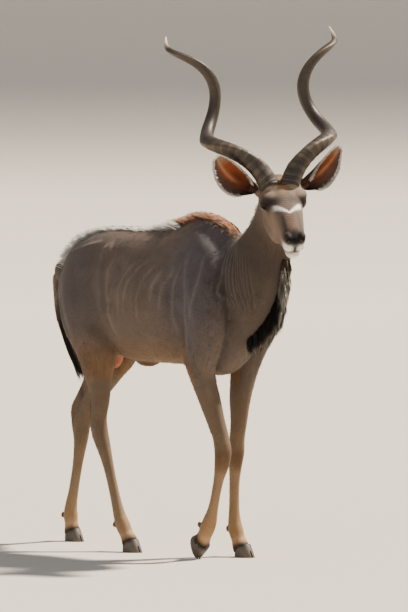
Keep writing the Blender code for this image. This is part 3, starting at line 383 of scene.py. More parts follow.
def cut_below(obj, point, normal):
    normal = Vector(normal).normalized()
    plane_side(obj.data, Vector(point) - normal * GAP / 2, normal, False)


def boolean(obj, other, operation, solver="EXACT"):
    modifier = obj.modifiers.new(operation.lower(), "BOOLEAN")
    modifier.operation = operation
    modifier.solver = solver
    modifier.object = other
    bake(obj)
    bpy.data.objects.remove(other)
    return obj


def keep_largest(obj):
    """Drops all but the largest closed surface of an object."""
    bm = bmesh.new()
    bm.from_mesh(obj.data)
    bm.verts.ensure_lookup_table()
    seen, shells = set(), []
    for start in bm.verts:
        if start.index in seen:
            continue
        shell, queue = [], [start]
        seen.add(start.index)
        while queue:
            vert = queue.pop()
            shell.append(vert)
            for edge in vert.link_edges:
                other = edge.other_vert(vert)
                if other.index not in seen:
                    seen.add(other.index)
                    queue.append(other)
        shells.append(shell)
    largest = max(shells, key=len)
    for shell in shells:
        if shell is not largest:
            bmesh.ops.delete(bm, geom=shell, context="VERTS")
    bm.to_mesh(obj.data)
    bm.free()
    return obj


def tree_of(obj):
    bm = bmesh.new()
    bm.from_mesh(obj.data)
    tree = BVHTree.FromBMesh(bm)
    bm.free()
    return tree


# The photograph's camera and a studio


CAMERA_TURN = math.radians(-38.0)
CAMERA_RISE = math.radians(1.9)
CAMERA_AIM = (0.174, -0.136, 1.006)
CAMERA_DISTANCE = 25.0
CAMERA_LENS = 358.7
# The backdrop: its front edge, where its curve starts, and the curve's radius, its height and half-width.
SWEEP_FRONT = -60.0
SWEEP_START = 30.0
SWEEP_RADIUS = 9.0
SWEEP_HEIGHT = 14.0
SWEEP_HALF_WIDTH = 90
SWEEP_STEPS = 16


def camera():
    """A long lens level with the shoulder, ahead of the bull and to its right."""
    turn, rise = CAMERA_TURN, CAMERA_RISE
    aim = Vector(CAMERA_AIM) + ORIGIN_SHIFT
    back = Vector((math.sin(turn) * math.cos(rise), -math.cos(turn) * math.cos(rise), math.sin(rise)))
    data = bpy.data.cameras.new("camera")
    data.lens = CAMERA_LENS
    data.clip_end = 400
    obj = bpy.data.objects.new("camera", data)
    bpy.context.scene.collection.objects.link(obj)
    obj.location = aim + back * CAMERA_DISTANCE
    obj.rotation_euler = (-back).to_track_quat("-Z", "Y").to_euler()
    bpy.context.scene.camera = obj


def sun_light(name, direction, softness, strength, colour):
    data = bpy.data.lights.new(name, "SUN")
    data.angle = math.radians(softness)
    data.energy = strength
    data.color = colour
    obj = bpy.data.objects.new(name, data)
    bpy.context.scene.collection.objects.link(obj)
    obj.rotation_euler = Vector(direction).to_track_quat("Z", "Y").to_euler()


def studio():
    """A warm key from behind the bull's left, a cool fill by the camera, and a pale sweep behind."""
    sun_light("key", (0.78, -0.17, 1.05), 5.0, 6.4, (1.0, 0.90, 0.78))
    sun_light("fill", (-0.75, -0.60, 0.40), 60.0, 0.42, (0.88, 0.94, 1.0))
    world = bpy.data.worlds.new("room")
    bpy.context.scene.world = world
    world.use_nodes = True
    sky = world.node_tree.nodes["Background"].inputs
    sky["Color"].default_value = (*linear("#dfe3ea"), 1)
    sky["Strength"].default_value = 0.40
    bpy.context.scene.view_settings.look = "AgX - Medium High Contrast"
    away = Vector((math.sin(-CAMERA_TURN), math.cos(-CAMERA_TURN), 0))
    aside = Vector((away.y, -away.x, 0))
    profile = [(SWEEP_FRONT, 0.0), (SWEEP_START, 0.0)]
    for k in range(1, SWEEP_STEPS + 1):
        turn = math.pi / 2 * k / SWEEP_STEPS
        profile.append((SWEEP_START + SWEEP_RADIUS * math.sin(turn), SWEEP_RADIUS * (1 - math.cos(turn))))
    profile.append((SWEEP_START + SWEEP_RADIUS, SWEEP_HEIGHT))
    points = [away * d + aside * x + Vector((0, 0, z)) for d, z in profile
              for x in (-SWEEP_HALF_WIDTH, SWEEP_HALF_WIDTH)]
    faces = [(2 * k, 2 * k + 1, 2 * k + 3, 2 * k + 2) for k in range(len(profile) - 1)]
    floor = mesh_object("floor", points, faces)
    floor.data.shade_smooth()
    floor.data.materials.append(plain_material("matt studio sweep", "#d8d1c6", 0.9))


# Colours and materials


def linear(code):
    """An sRGB hex colour as linear light."""
    values = [int(code[i : i + 2], 16) / 255 for i in (1, 3, 5)]
    return tuple(v / 12.92 if v <= 0.04045 else ((v + 0.055) / 1.055) ** 2.4 for v in values)


def add_node(tree, kind, settings=None, values=None, links=None):
    """Adds one node: its settings, the values of its sockets, and what feeds them."""
    node = tree.nodes.new(kind)
    for key, value in (settings or {}).items():
        setattr(node, key, value)
    for key, value in (values or {}).items():
        node.inputs[key].default_value = value
    for key, source in (links or {}).items():
        tree.links.new(source, node.inputs[key])
    return node


def new_material(name):
    material = bpy.data.materials.new(name)
    material.use_nodes = True
    tree = material.node_tree
    return material, tree, tree.nodes["Principled BSDF"]


def plain_material(name, colour, roughness):
    material, _, shader = new_material(name)
    shader.inputs["Base Color"].default_value = (*linear(colour), 1)
    shader.inputs["Roughness"].default_value = roughness
    return material


# The flesh


def trunk():
    stations = [
        # y, z, side, back, belly, sharpness above and below
        (0.606, 1.090, 0.016, 0.030, 0.035, 2.0, 2.0),
        (0.585, 1.085, 0.034, 0.075, 0.085, 2.0, 2.0),
        (0.545, 1.080, 0.052, 0.125, 0.150, 2.0, 2.0),
        (0.480, 1.080, 0.092, 0.165, 0.205, 1.9, 2.0),
        (0.400, 1.085, 0.140, 0.195, 0.245, 1.8, 2.0),
        (0.300, 1.090, 0.164, 0.218, 0.268, 1.8, 2.0),
        (0.170, 1.090, 0.174, 0.232, 0.290, 1.8, 2.0),
        (0.020, 1.060, 0.192, 0.266, 0.284, 1.7, 2.1),
        (-0.120, 1.040, 0.204, 0.288, 0.264, 1.6, 2.2),
        (-0.250, 1.030, 0.200, 0.318, 0.254, 1.5, 2.2),
        (-0.350, 1.030, 0.184, 0.344, 0.268, 1.45, 2.1),
        (-0.460, 1.020, 0.162, 0.338, 0.284, 1.5, 2.0),
        (-0.560, 1.000, 0.136, 0.296, 0.262, 1.6, 2.0),
        (-0.640, 0.985, 0.100, 0.205, 0.185, 1.8, 2.0),
        (-0.695, 0.975, 0.060, 0.100, 0.095, 2.0, 2.0),
    ]
    return loft("trunk", [(0, *s) for s in stations], count=36)


def neck():
    stations = [
        # x, y, z, side, nape, throat
        (0.0, -0.45, 1.080, 0.130, 0.230, 0.250),
        (0.0, -0.60, 1.105, 0.124, 0.195, 0.235),
        (-0.002, -0.70, 1.172, 0.104, 0.160, 0.198),
        (-0.006, -0.768, 1.270, 0.080, 0.116, 0.142),
        (-0.008, -0.812, 1.360, 0.067, 0.088, 0.110),
        (-0.008, -0.838, 1.440, 0.064, 0.074, 0.085),
        (-0.010, -0.850, 1.490, 0.058, 0.055, 0.060),
    ]
    return loft("neck", stations, count=28)


def foreleg(side, lower):
    """Shoulder blade, upper arm and elbow, then the free limb down to the coronet."""
    blade = [
        (side * 0.052, -0.365, 1.285, 0.030, 0.060, 0.080),
        (side * 0.096, -0.450, 1.180, 0.050, 0.120, 0.125),
        (side * 0.128, -0.525, 1.060, 0.058, 0.125, 0.140),
    ]
    return loft(f"foreleg {side}", blade + [(side * s[0], *s[1:]) for s in lower], count=20)


# Limbs from the body down to the coronet: x, y, z, then half-depths to the side, front and back.
PLANTED_FORELEG = [
    (0.142, -0.535, 0.955, 0.060, 0.104, 0.128),
    (0.138, -0.492, 0.865, 0.058, 0.084, 0.104),
    (0.124, -0.474, 0.780, 0.051, 0.070, 0.072),
    (0.108, -0.472, 0.700, 0.045, 0.056, 0.056),
    (0.098, -0.470, 0.636, 0.039, 0.050, 0.048),
    (0.093, -0.470, 0.555, 0.031, 0.040, 0.040),
    (0.090, -0.463, 0.480, 0.029, 0.033, 0.035),
    (0.090, -0.457, 0.424, 0.032, 0.034, 0.036),
    (0.090, -0.452, 0.370, 0.026, 0.027, 0.030),
    (0.090, -0.446, 0.300, 0.020, 0.021, 0.025),
    (0.090, -0.444, 0.200, 0.020, 0.021, 0.025),
    (0.090, -0.447, 0.145, 0.025, 0.025, 0.031),
    (0.090, -0.454, 0.110, 0.029, 0.030, 0.035),
    (0.090, -0.470, 0.072, 0.029, 0.028, 0.028),
    (0.090, -0.484, 0.044, 0.034, 0.034, 0.032),
    (0.090, -0.492, 0.024, 0.032, 0.034, 0.032),
]


LIFTED_FORELEG = [
    (0.144, -0.560, 0.960, 0.060, 0.112, 0.132),
    (0.142, -0.535, 0.870, 0.058, 0.096, 0.112),
    (0.130, -0.505, 0.785, 0.052, 0.074, 0.076),
    (0.114, -0.505, 0.718, 0.046, 0.056, 0.056),
    (0.106, -0.533, 0.643, 0.040, 0.049, 0.049),
    (0.102, -0.566, 0.563, 0.033, 0.042, 0.042),
    (0.100, -0.595, 0.500, 0.031, 0.036, 0.036),
    (0.100, -0.611, 0.440, 0.033, 0.036, 0.037),
    (0.100, -0.604, 0.385, 0.029, 0.030, 0.033),
    (0.100, -0.586, 0.330, 0.021, 0.020, 0.024),
    (0.100, -0.566, 0.265, 0.018, 0.018, 0.022),
    (0.100, -0.546, 0.200, 0.020, 0.021, 0.026),
    (0.100, -0.527, 0.155, 0.027, 0.029, 0.033),
    (0.100, -0.508, 0.122, 0.029, 0.031, 0.033),
    (0.100, -0.490, 0.096, 0.030, 0.028, 0.028),
    (0.100, -0.473, 0.074, 0.033, 0.033, 0.032),
    (0.100, -0.461, 0.058, 0.031, 0.033, 0.032),
]


FORWARD_HINDLEG = [
    (0.070, 0.340, 1.225, 0.060, 0.180, 0.108),
    (0.098, 0.310, 1.120, 0.078, 0.215, 0.148),
    (0.114, 0.275, 1.010, 0.080, 0.210, 0.168),
    (0.118, 0.232, 0.910, 0.074, 0.170, 0.155),
    (0.114, 0.212, 0.820, 0.064, 0.122, 0.118),
    (0.110, 0.210, 0.740, 0.053, 0.084, 0.084),
    (0.104, 0.207, 0.675, 0.043, 0.060, 0.062),
    (0.100, 0.206, 0.610, 0.034, 0.044, 0.050),
    (0.100, 0.210, 0.545, 0.027, 0.034, 0.046),
    (0.100, 0.206, 0.490, 0.030, 0.034, 0.048),
    (0.100, 0.190, 0.440, 0.029, 0.033, 0.036),
    (0.100, 0.164, 0.380, 0.023, 0.027, 0.028),
    (0.100, 0.138, 0.315, 0.019, 0.022, 0.025),
    (0.100, 0.102, 0.215, 0.019, 0.022, 0.025),
    (0.100, 0.074, 0.148, 0.024, 0.025, 0.031),
    (0.100, 0.052, 0.108, 0.029, 0.030, 0.034),
    (0.100, 0.028, 0.072, 0.028, 0.028, 0.028),
    (0.100, 0.010, 0.048, 0.032, 0.034, 0.033),
    (0.100, 0.004, 0.024, 0.030, 0.033, 0.032),
]


TRAILING_HINDLEG = [
    (0.070, 0.360, 1.225, 0.060, 0.180, 0.125),
    (0.098, 0.345, 1.120, 0.078, 0.215, 0.165),
    (0.114, 0.330, 1.010, 0.080, 0.205, 0.180),
    (0.118, 0.330, 0.910, 0.074, 0.160, 0.175),
    (0.114, 0.362, 0.820, 0.064, 0.112, 0.130),
    (0.108, 0.408, 0.742, 0.053, 0.076, 0.092),
    (0.100, 0.455, 0.676, 0.044, 0.058, 0.066),
    (0.095, 0.505, 0.612, 0.034, 0.044, 0.052),
    (0.092, 0.552, 0.553, 0.028, 0.036, 0.048),
    (0.090, 0.578, 0.500, 0.030, 0.036, 0.050),
    (0.090, 0.590, 0.440, 0.029, 0.032, 0.037),
    (0.090, 0.604, 0.375, 0.023, 0.026, 0.028),
    (0.090, 0.619, 0.310, 0.019, 0.022, 0.025),
    (0.090, 0.643, 0.215, 0.019, 0.022, 0.025),
    (0.090, 0.660, 0.150, 0.024, 0.025, 0.031),
    (0.090, 0.664, 0.108, 0.029, 0.030, 0.034),
    (0.090, 0.660, 0.072, 0.028, 0.028, 0.028),
    (0.090, 0.656, 0.048, 0.032, 0.034, 0.033),
    (0.090, 0.654, 0.024, 0.030, 0.033, 0.032),
]


def hock_cord(side, line):
    """The tendon from the calf to the point of the hock, and the bone it ends on."""
    stations = [(side * x, y, z, a, b, b) for x, y, z, a, b in line]
    return loft("hock cord", stations, count=14)


# Down the cord: x, y, z, then half-depths to the side and to the front and back.
FORWARD_HOCK = [
    (0.104, 0.262, 0.740, 0.024, 0.030),
    (0.100, 0.254, 0.660, 0.014, 0.022),
    (0.100, 0.250, 0.590, 0.012, 0.022),
    (0.100, 0.253, 0.535, 0.016, 0.018),
    (0.100, 0.238, 0.470, 0.017, 0.014),
    (0.100, 0.205, 0.410, 0.014, 0.012),
]


TRAILING_HOCK = [
    (0.100, 0.520, 0.715, 0.024, 0.036),
    (0.096, 0.562, 0.650, 0.014, 0.034),
    (0.092, 0.602, 0.595, 0.013, 0.030),
    (0.090, 0.632, 0.558, 0.016, 0.022),
    (0.090, 0.633, 0.500, 0.017, 0.014),
    (0.090, 0.622, 0.430, 0.014, 0.012),
]


def hindleg(side, stations):
    return loft(f"hindleg {side}", [(side * s[0], *s[1:]) for s in stations], count=20)


# Where the pair of dew claws sits behind each fetlock: its middle.
DEW_CLAWS = ((0.090, -0.418, 0.112), (-0.100, -0.474, 0.140), (-0.100, 0.092, 0.108), (0.090, 0.702, 0.108))


def dew_claws():
    pieces = []
    for x, y, z in DEW_CLAWS:
        for side in (1, -1):
            pieces.append(blob("dew claw", (x + side * 0.013, y, z), (0.008, 0.011, 0.013)))
    return pieces


def flesh_of_the_body():
    pieces = [
        trunk(),
        neck(),
        foreleg(1, PLANTED_FORELEG),
        foreleg(-1, LIFTED_FORELEG),
        hindleg(-1, FORWARD_HINDLEG),
        hindleg(1, TRAILING_HINDLEG),
        hock_cord(-1, FORWARD_HOCK),
        hock_cord(1, TRAILING_HOCK),
        blob("tail stump", (0.0, 0.600, 1.140), (0.034, 0.040, 0.040)),
        blob("scrotum", (0.0, 0.245, 0.800), (0.036, 0.045, 0.060)),
        blob("sheath", (0.0, 0.015, 0.780), (0.026, 0.075, 0.022)),
    ]
    return pieces + dew_claws()


def body_softness(points):
    """Little smoothing low on the legs, much of it on trunk and neck."""
    height = np.clip((points[:, 2] - 0.60) / 0.25, 0, 1)
    return 0.12 + 0.88 * height


def shoulder_softness(points):
    """Melts the step where the neck's upper edge runs into the shoulder."""
    return patch(points, (0, -0.56, 1.245), (0.4, 0.105, 0.075), 0.3)


def body_strokes():
    """Folds and muscles in side view: line (y, z), half-width, and height or, below zero, depth."""
    strokes = [
        (((-0.30, 1.22), (-0.36, 1.06), (-0.43, 0.92), (-0.455, 0.80)), 0.030, -0.011),
        (((-0.40, 1.26), (-0.45, 1.16), (-0.52, 1.04), (-0.57, 0.95)), 0.030, 0.008),
        (((-0.645, 1.27), (-0.695, 1.13), (-0.735, 0.98)), 0.024, -0.008),
        (((-0.02, 1.21), (0.035, 1.10), (0.035, 0.98)), 0.050, -0.014),
        (((0.095, 1.245), (0.150, 1.225)), 0.028, 0.012),
        (((0.13, 1.20), (0.095, 1.08), (0.085, 0.95), (0.045, 0.86)), 0.022, 0.007),
        (((0.43, 1.12), (0.38, 0.99), (0.31, 0.85)), 0.022, -0.007),
        (((-0.42, 0.86), (-0.46, 0.80), (-0.50, 0.76)), 0.025, 0.006),
    ]
    for k in range(RIBS):
        y = RIB_FIRST + RIB_SPACING * k
        strokes.append((((y, 1.21), (y + 0.055, 1.08), (y + 0.070, 0.96)), 0.013, 0.0045))
    return strokes


TAIL = (
    (0.000, 0.590, 1.150, 0.026, 0.026, 0.026),
    (0.000, 0.620, 1.130, 0.023, 0.023, 0.023),
    (0.002, 0.638, 1.080, 0.019, 0.017, 0.017),
    (0.008, 0.638, 0.985, 0.014, 0.012, 0.012),
    (0.026, 0.618, 0.880, 0.011, 0.010, 0.010),
    (0.046, 0.588, 0.785, 0.009, 0.009, 0.009),
)


def tail_core(name):
    return loft(name, TAIL, count=10, steps=3)


def skull():
    stations = [
        # along, above, side, brow, jaw, sharpness above and below
        (-0.165, -0.034, 0.034, 0.030, 0.050, 2.0, 2.0),
        (-0.142, -0.028, 0.062, 0.056, 0.100, 2.1, 2.1),
        (-0.095, -0.016, 0.078, 0.066, 0.126, 2.2, 2.3),
        (-0.045, -0.007, 0.080, 0.062, 0.138, 2.3, 2.5),
        (0.000, -0.002, 0.077, 0.056, 0.144, 2.4, 2.7),
        (0.050, 0.000, 0.068, 0.050, 0.142, 2.4, 2.8),
        (0.100, 0.000, 0.060, 0.046, 0.132, 2.3, 2.7),
        (0.150, -0.002, 0.053, 0.042, 0.119, 2.2, 2.4),
        (0.195, -0.007, 0.047, 0.037, 0.106, 2.2, 2.2),
        (0.225, -0.012, 0.045, 0.033, 0.092, 2.2, 2.2),
        (0.247, -0.018, 0.041, 0.029, 0.068, 2.2, 2.2),
        (0.262, -0.022, 0.029, 0.020, 0.038, 2.0, 2.0),
    ]
    placed = [(*HEAD.on_face(0, s[0], s[1]), *s[2:]) for s in stations]
    return loft("skull", placed, across=HEAD.left, count=32)


def face_axes():
    return HEAD.left, HEAD.muzzle, HEAD.brow


def flesh_of_the_head():
    on = HEAD.on_face
    axes = face_axes()
    pieces = [skull(), neck()]
    for side in (1, -1):
        pieces += [
            blob("brow", on(side * 0.052, -0.008, 0.028), (0.044, 0.046, 0.022), axes),
            blob("orbit", on(side * 0.0615, 0.002, 0.001), (0.0335, 0.035, 0.0295), axes),
            blob("cheek", on(side * 0.036, 0.000, -0.085), (0.040, 0.085, 0.058), axes),
            blob("jaw", on(side * 0.036, 0.050, -0.092), (0.033, 0.080, 0.042), axes),
            blob("temple", on(side * 0.050, -0.055, -0.035), (0.038, 0.055, 0.045), axes),
            blob("horn collar", on(side * 0.042, -0.052, 0.034), (0.038, 0.040, 0.038), axes),
            blob("ear stem", ear_axis_point(side, 0.0), (0.031, 0.031, 0.031), axes),
            blob("nostril wing", on(side * 0.027, 0.236, 0.003), (0.018, 0.026, 0.018), axes),
            blob("upper lip", on(side * 0.024, 0.234, -0.038), (0.021, 0.030, 0.020), axes),
        ]
    pieces.append(blob("chin", on(0, 0.214, -0.086), (0.030, 0.032, 0.023), axes))
    return pieces


def head_softness(points):
    return np.full(len(points), 0.35)


def brow_softness(points):
    """Melts the brow ridges into the forehead, clear of the lids."""
    return patch(folded_head(points), (0.045, -0.012, 0.052), (0.060, 0.055, 0.026), 0.15)


def nostril(side):
    """A comma-shaped hole that runs up and in from the front of the muzzle."""
    centre = HEAD.on_face(side * 0.0270, 0.254, -0.002)
    inward = (HEAD.muzzle * 0.75 + HEAD.left * side * 0.55 + HEAD.brow * 0.1).normalized()
    across = inward.cross(HEAD.brow).normalized()
    return blob("nostril", centre, (0.0105, 0.014, 0.0135), (across, inward, across.cross(inward)), 12)


def eye_centre(side):
    across, along, above = EYE_PLACE
    return HEAD.on_face(side * across, along, above)


def eye_socket(side):
    return blob("socket", eye_centre(side), (EYE_RADIUS,) * 3, face_axes(), 12)


def eye_axes(side):
    """The way the eye faces, and the direction ahead across it."""
    out = HEAD.left * side * math.cos(EYE_TURN) + HEAD.muzzle * math.sin(EYE_TURN)
    ahead = HEAD.muzzle * math.cos(EYE_TURN) - HEAD.left * side * math.sin(EYE_TURN)
    return out, ahead


def slanted(a, b):
    """A place on the almond of the lids, turned by its slant: forward and upward."""
    forward = a * math.cos(EYE_SLANT) + b * math.sin(EYE_SLANT)
    return forward, b * math.cos(EYE_SLANT) - a * math.sin(EYE_SLANT)


def eye_opening(side):
    """An almond-shaped prism, slanted down to the inner corner, that bares the eyeball."""
    centre, (out, ahead) = eye_centre(side), eye_axes(side)
    half_length, half_height = EYE_OPENING
    rings = []
    for depth in (0.000, 0.060):
        ring = []
        for angle in turns(16):
            a = half_length * math.cos(angle)
            b = half_height * math.copysign(abs(math.sin(angle)) ** 1.25, math.sin(angle))
            forward, upward = slanted(a, b)
            ring.append(centre + out * (depth + 0.006) + ahead * forward + HEAD.brow * upward)
        rings.append(ring)
    return loft_rings("lids", rings)


def horn_centre(side, t):
    """The middle line of a horn, t from 0 at the brow to 1 at the tip."""
    lean, splay = HORN_LEAN, HORN_SPLAY
    axis = np.array((math.sin(splay), -math.cos(splay) * math.cos(lean), math.cos(splay) * math.sin(lean)))
    first = np.array((math.cos(splay), math.sin(splay) * math.cos(lean), -math.sin(splay) * math.sin(lean)))
    second = np.cross(axis, first)
    at_root, at_tip, bulge = HORN_COIL

    def swing(radius, phase):
        return radius * (math.cos(phase) * first + math.sin(phase) * second)

    radius = at_root * (1 - t) + at_tip * t + 4 * bulge * t * (1 - t)
    phase = HORN_FIRST_PHASE + 2 * math.pi * HORN_TURNS * max(t, 0) ** HORN_PACE
    place = np.array((HORN_APART, 0, HORN_ABOVE)) + HORN_RISE * t * axis
    place += swing(radius, phase) - swing(at_root, HORN_FIRST_PHASE)
    return HORN_ROOT + HEAD.level(side * place[0], place[1], place[2])


def horn_outward(side, t):
    """Away from the corkscrew's axis, which is where the keel runs."""
    step = 0.06
    before, after = horn_centre(side, max(t - step, 0)), horn_centre(side, t + step)
    return (horn_centre(side, t) - (before + after) / 2).normalized()


def ear_axes(side):
    """Along the ear, towards where its cup opens, and across it."""
    out, ahead, up = EAR_AXIS[side]
    along = HEAD.level(side * out, ahead, up).normalized()
    turn = EAR_OPENS[side]
    opening = HEAD.level(side * math.sin(turn), math.cos(turn), 0)
    opening = (opening - along * opening.dot(along)).normalized()
    across = along.cross(opening)
    if across.z > 0:
        across.negate()
    return along, opening, across


def ear_axis_point(side, distance):
    return HEAD.on_face(side * EAR_ROOT[0], *EAR_ROOT[1:]) + ear_axes(side)[0] * distance


# place along the ear, radius of the curl and its half-angle
EAR_CURL = (
    (0.10, 0.0215, 150), (0.20, 0.033, 135), (0.32, 0.050, 100), (0.46, 0.066, 74),
    (0.60, 0.074, 60), (0.74, 0.076, 48), (0.86, 0.070, 36), (0.95, 0.052, 24), (1.0, 0.030, 8),
)


def ear(name, side):
    """A curled leaf with the cup's thickness, on a round stem."""
    along, opening, across = ear_axes(side)
    root = ear_axis_point(side, 0)
    outer, inner = [], []
    for place, radius, half_angle in smooth_rows(EAR_CURL, 1):
        centre = root + along * EAR_LENGTH * place + across * EAR_BEND * math.sin(math.pi * place)
        for layer, thickness in ((outer, 0.0), (inner, EAR_THICKNESS)):
            row = []
            for k in range(EAR_COLUMNS + 1):
                share = 2 * k / EAR_COLUMNS - 1
                angle = math.radians(half_angle) * share
                rim = 1 - 0.75 * abs(share) ** 4
                r = radius - thickness * rim * (1 - 0.5 * place)
                row.append(
                    centre + across * r * math.sin(angle)
                    + opening * (radius * CUP_DEPTH - r * math.cos(angle) - CUP_SHIFT)
                )
            layer.append(row)
    shell = plate_between(name, outer, inner)
    stem_rings = []
    for distance, radius in ((EAR_SEAT + GAP, 1.0), (0.035, 1.02), (0.052, 0.8)):
        centre = root + along * distance + across * distance * 0.3
        stem_rings.append([centre + (across * math.cos(v) + opening * math.sin(v)) * EAR_STEM_RADIUS * radius
                           for v in turns(14)])
    return keep_largest(boolean(shell, loft_rings("stem", stem_rings), "UNION"))


def plate_between(name, outer, inner):
    """A closed plate between two grids of points."""
    rows, columns = len(outer), len(outer[0])
    points = [p for row in outer for p in row] + [p for row in inner for p in row]
    shift = rows * columns
    faces = []
    for i in range(rows - 1):
        for k in range(columns - 1):
            a = i * columns + k
            quad = (a, a + 1, a + 1 + columns, a + columns)
            faces += [quad[:3], (quad[0], quad[2], quad[3])]
            faces += [tuple(shift + v for v in reversed(f)) for f in faces[-2:]]
    rim = list(range(columns)) + [i * columns + columns - 1 for i in range(1, rows)]
    rim += [(rows - 1) * columns + k for k in range(columns - 2, -1, -1)]
    rim += [i * columns for i in range(rows - 2, 0, -1)]
    for a, b in zip(rim, rim[1:] + rim[:1]):
        faces += [(a, shift + a, shift + b), (a, shift + b, b)]
    obj = mesh_object(name, points, faces)
    face_outwards(obj.data)
    return obj


def foot_place(name, x, y, z):
    """A point of a hoof's own frame in the world; a lifted foot turns about its coronet."""
    (fx, fy, fz), turn = FEET[name]
    if not turn:
        return Vector((fx + x, fy + y, z))
    z = z - (HOOF_TOP_FRONT + HOOF_TOP_BACK) / 2
    c, s = math.cos(turn), math.sin(turn)
    return Vector((fx + x, fy + y * c - z * s, fz + y * s + z * c))


def coronet_plane(name):
    """The plane where hair ends and horn begins: a point on it and its normal, up the leg."""
    front = foot_place(name, 0, HOOF_TOP_TOE, HOOF_TOP_FRONT)
    back = foot_place(name, 0, HOOF_TOP_HEEL, HOOF_TOP_BACK)
    side = foot_place(name, 0.03, HOOF_TOP_HEEL, HOOF_TOP_BACK)
    normal = (back - front).cross(side - back).normalized()
    upward = foot_place(name, 0, 0, 0.1) - foot_place(name, 0, 0, 0)
    if normal.dot(upward) < 0:
        normal.negate()
    return (front + back) / 2, normal


def hoof_ring(name, level):
    """One outline of the hoof, from 0 at the sole to 1 at the coronet."""
    toe = HOOF_TOE * (1 - level) + HOOF_TOP_TOE * level
    heel = HOOF_HEEL * (1 - level) + HOOF_TOP_HEEL * level
    half = HOOF_HALF_WIDTH - 0.003 * level
    widest = -0.002
    ring = []
    for angle in turns(18):
        c, s = math.cos(angle), math.sin(angle)
        y = widest + (heel - widest) * s if s > 0 else widest + (widest - toe) * s
        x = half * math.copysign(abs(c) ** 0.85, c)
        top = HOOF_TOP_FRONT + (HOOF_TOP_BACK - HOOF_TOP_FRONT) * (y + 0.032) / 0.066
        ring.append(foot_place(name, x, y, top * level))
    return ring


def hoof(name, leg):
    """Two claws with a cleft between them, flat where they stand."""
    obj = loft_rings(name, [hoof_ring(leg, level) for level in (0, 0.35, 0.7, 1)])
    cleft = []
    for y, half in ((-0.09, HOOF_CLEFT), (0.012, 0.0008)):
        for x in (-half, half):
            for z in (-0.02, 0.036 if y < 0 else 0.012):
                cleft.append(foot_place(leg, x, y, z))
    faces = [(0, 1, 3, 2), (4, 6, 7, 5), (0, 4, 5, 1), (2, 3, 7, 6), (0, 2, 6, 4), (1, 5, 7, 3)]
    cutter = mesh_object("cleft", cleft, faces)
    face_outwards(cutter.data)
    boolean(obj, cutter, "DIFFERENCE")
    cut_below(obj, *coronet_plane(leg))
    if FEET[leg][1]:
        plane_side(obj.data, Vector((0, 0, 0)), Vector((0, 0, 1)), True)
    return keep_largest(obj)


NECK_TOP = (HEAD.on_face(0, -0.130, -0.05), Vector((0.10, 0.90, -0.42)))


# One skin for all the flesh


def lid_rim(side, upper):
    """A rounded lid edge along half of the almond, just outside the eyeball."""
    centre, (out, ahead) = eye_centre(side), eye_axes(side)
    half_length, half_height = EYE_OPENING
    thick = 0.0050 if upper else 0.0036
    line = []
    for k in range(17):
        angle = math.pi * k / 16
        a = (half_length + 0.003) * math.cos(angle)
        b = (half_height + 0.002) * math.sin(angle) ** 1.25 * (1 if upper else -1)
        forward, upward = slanted(a, b)
        reach = math.sqrt(max((EYE_RADIUS + 0.0012) ** 2 - forward ** 2 - upward ** 2, 0.00006))
        line.append(centre + out * reach + ahead * forward + HEAD.brow * upward)
    rings = []
    for k, place in enumerate(line):
        along = (line[min(k + 1, 16)] - line[max(k - 1, 0)]).normalized()
        outward = (place - centre).normalized()
        across = along.cross(outward).normalized()
        rings.append([place + (across * math.cos(v) + outward * math.sin(v)) * thick for v in turns(10)])
    return loft_rings("lid", rings)


def fine_head():
    """The head and its ears, with lids, nostrils and the corners of the mouth."""
    head = fuse("head flesh", flesh_of_the_head(), 2 * HEAD_VOXEL)
    for side in (1, -1):
        boolean(head, eye_opening(side), "DIFFERENCE", "MANIFOLD")
        boolean(head, eye_socket(side), "DIFFERENCE", "MANIFOLD")
        boolean(head, nostril(side), "DIFFERENCE", "MANIFOLD")
    lids = [lid_rim(side, upper) for side in (1, -1) for upper in (True, False)]
    ears = [ear("ear", side) for side in (1, -1)]
    head = fuse("head flesh", [head] + lids + ears, HEAD_VOXEL)
    soften(head, head_softness, SMOOTHING["head"])
    soften(head, brow_softness, SMOOTHING["brow"])
    shape_face(head)
    return head


def head_coordinates(points):
    """Across to the left, along to the nose and above the eyes, for each point."""
    offset = points - np.array(EYES_MIDPOINT)
    return (offset @ np.array(HEAD.left), offset @ np.array(HEAD.muzzle), offset @ np.array(HEAD.brow))


def folded_head(points):
    """Head coordinates with both sides laid over one another."""
    across, along, above = head_coordinates(points)
    return np.stack([np.abs(across), along, above], axis=1)


def near_eyes(points, reach, behind):
    """Points within reach of the eyes' middle and not far behind it."""
    along = head_coordinates(points)[1]
    return (np.linalg.norm(points - np.array(EYES_MIDPOINT), axis=1) < reach) & (along > behind)


MOUTH = ((0.148, -0.079), (0.180, -0.073), (0.210, -0.070), (0.238, -0.064), (0.285, -0.057))


def shape_face(head):
    """The line of the mouth, the fold over it and the wrinkles across the bridge of the nose."""
    points, outward = coordinates(head.data), normals(head.data)
    across, along, above = head_coordinates(points)
    line = np.interp(along, *zip(*MOUTH))
    opened = np.clip((along - 0.140) / 0.012, 0, 1)
    moves = -0.0045 * np.exp(-(((above - line) / 0.0026) ** 2)) * opened
    moves += 0.0015 * np.exp(-(((above - line - 0.008) / 0.006) ** 2)) * opened
    bridge = np.exp(-((across / 0.024) ** 2)) * (above > -0.01)
    bridge *= np.clip((along - 0.02) / 0.03, 0, 1) * np.clip((0.20 - along) / 0.03, 0, 1)
    moves += 0.0006 * bridge * np.sin(2 * math.pi * (along + 0.1 * np.abs(across)) / 0.012)
    displace(head.data, points + outward * moves[:, None])


JOIN = (NECK_TOP[0] + NECK_TOP[1].normalized() * 0.045, NECK_TOP[1].normalized())


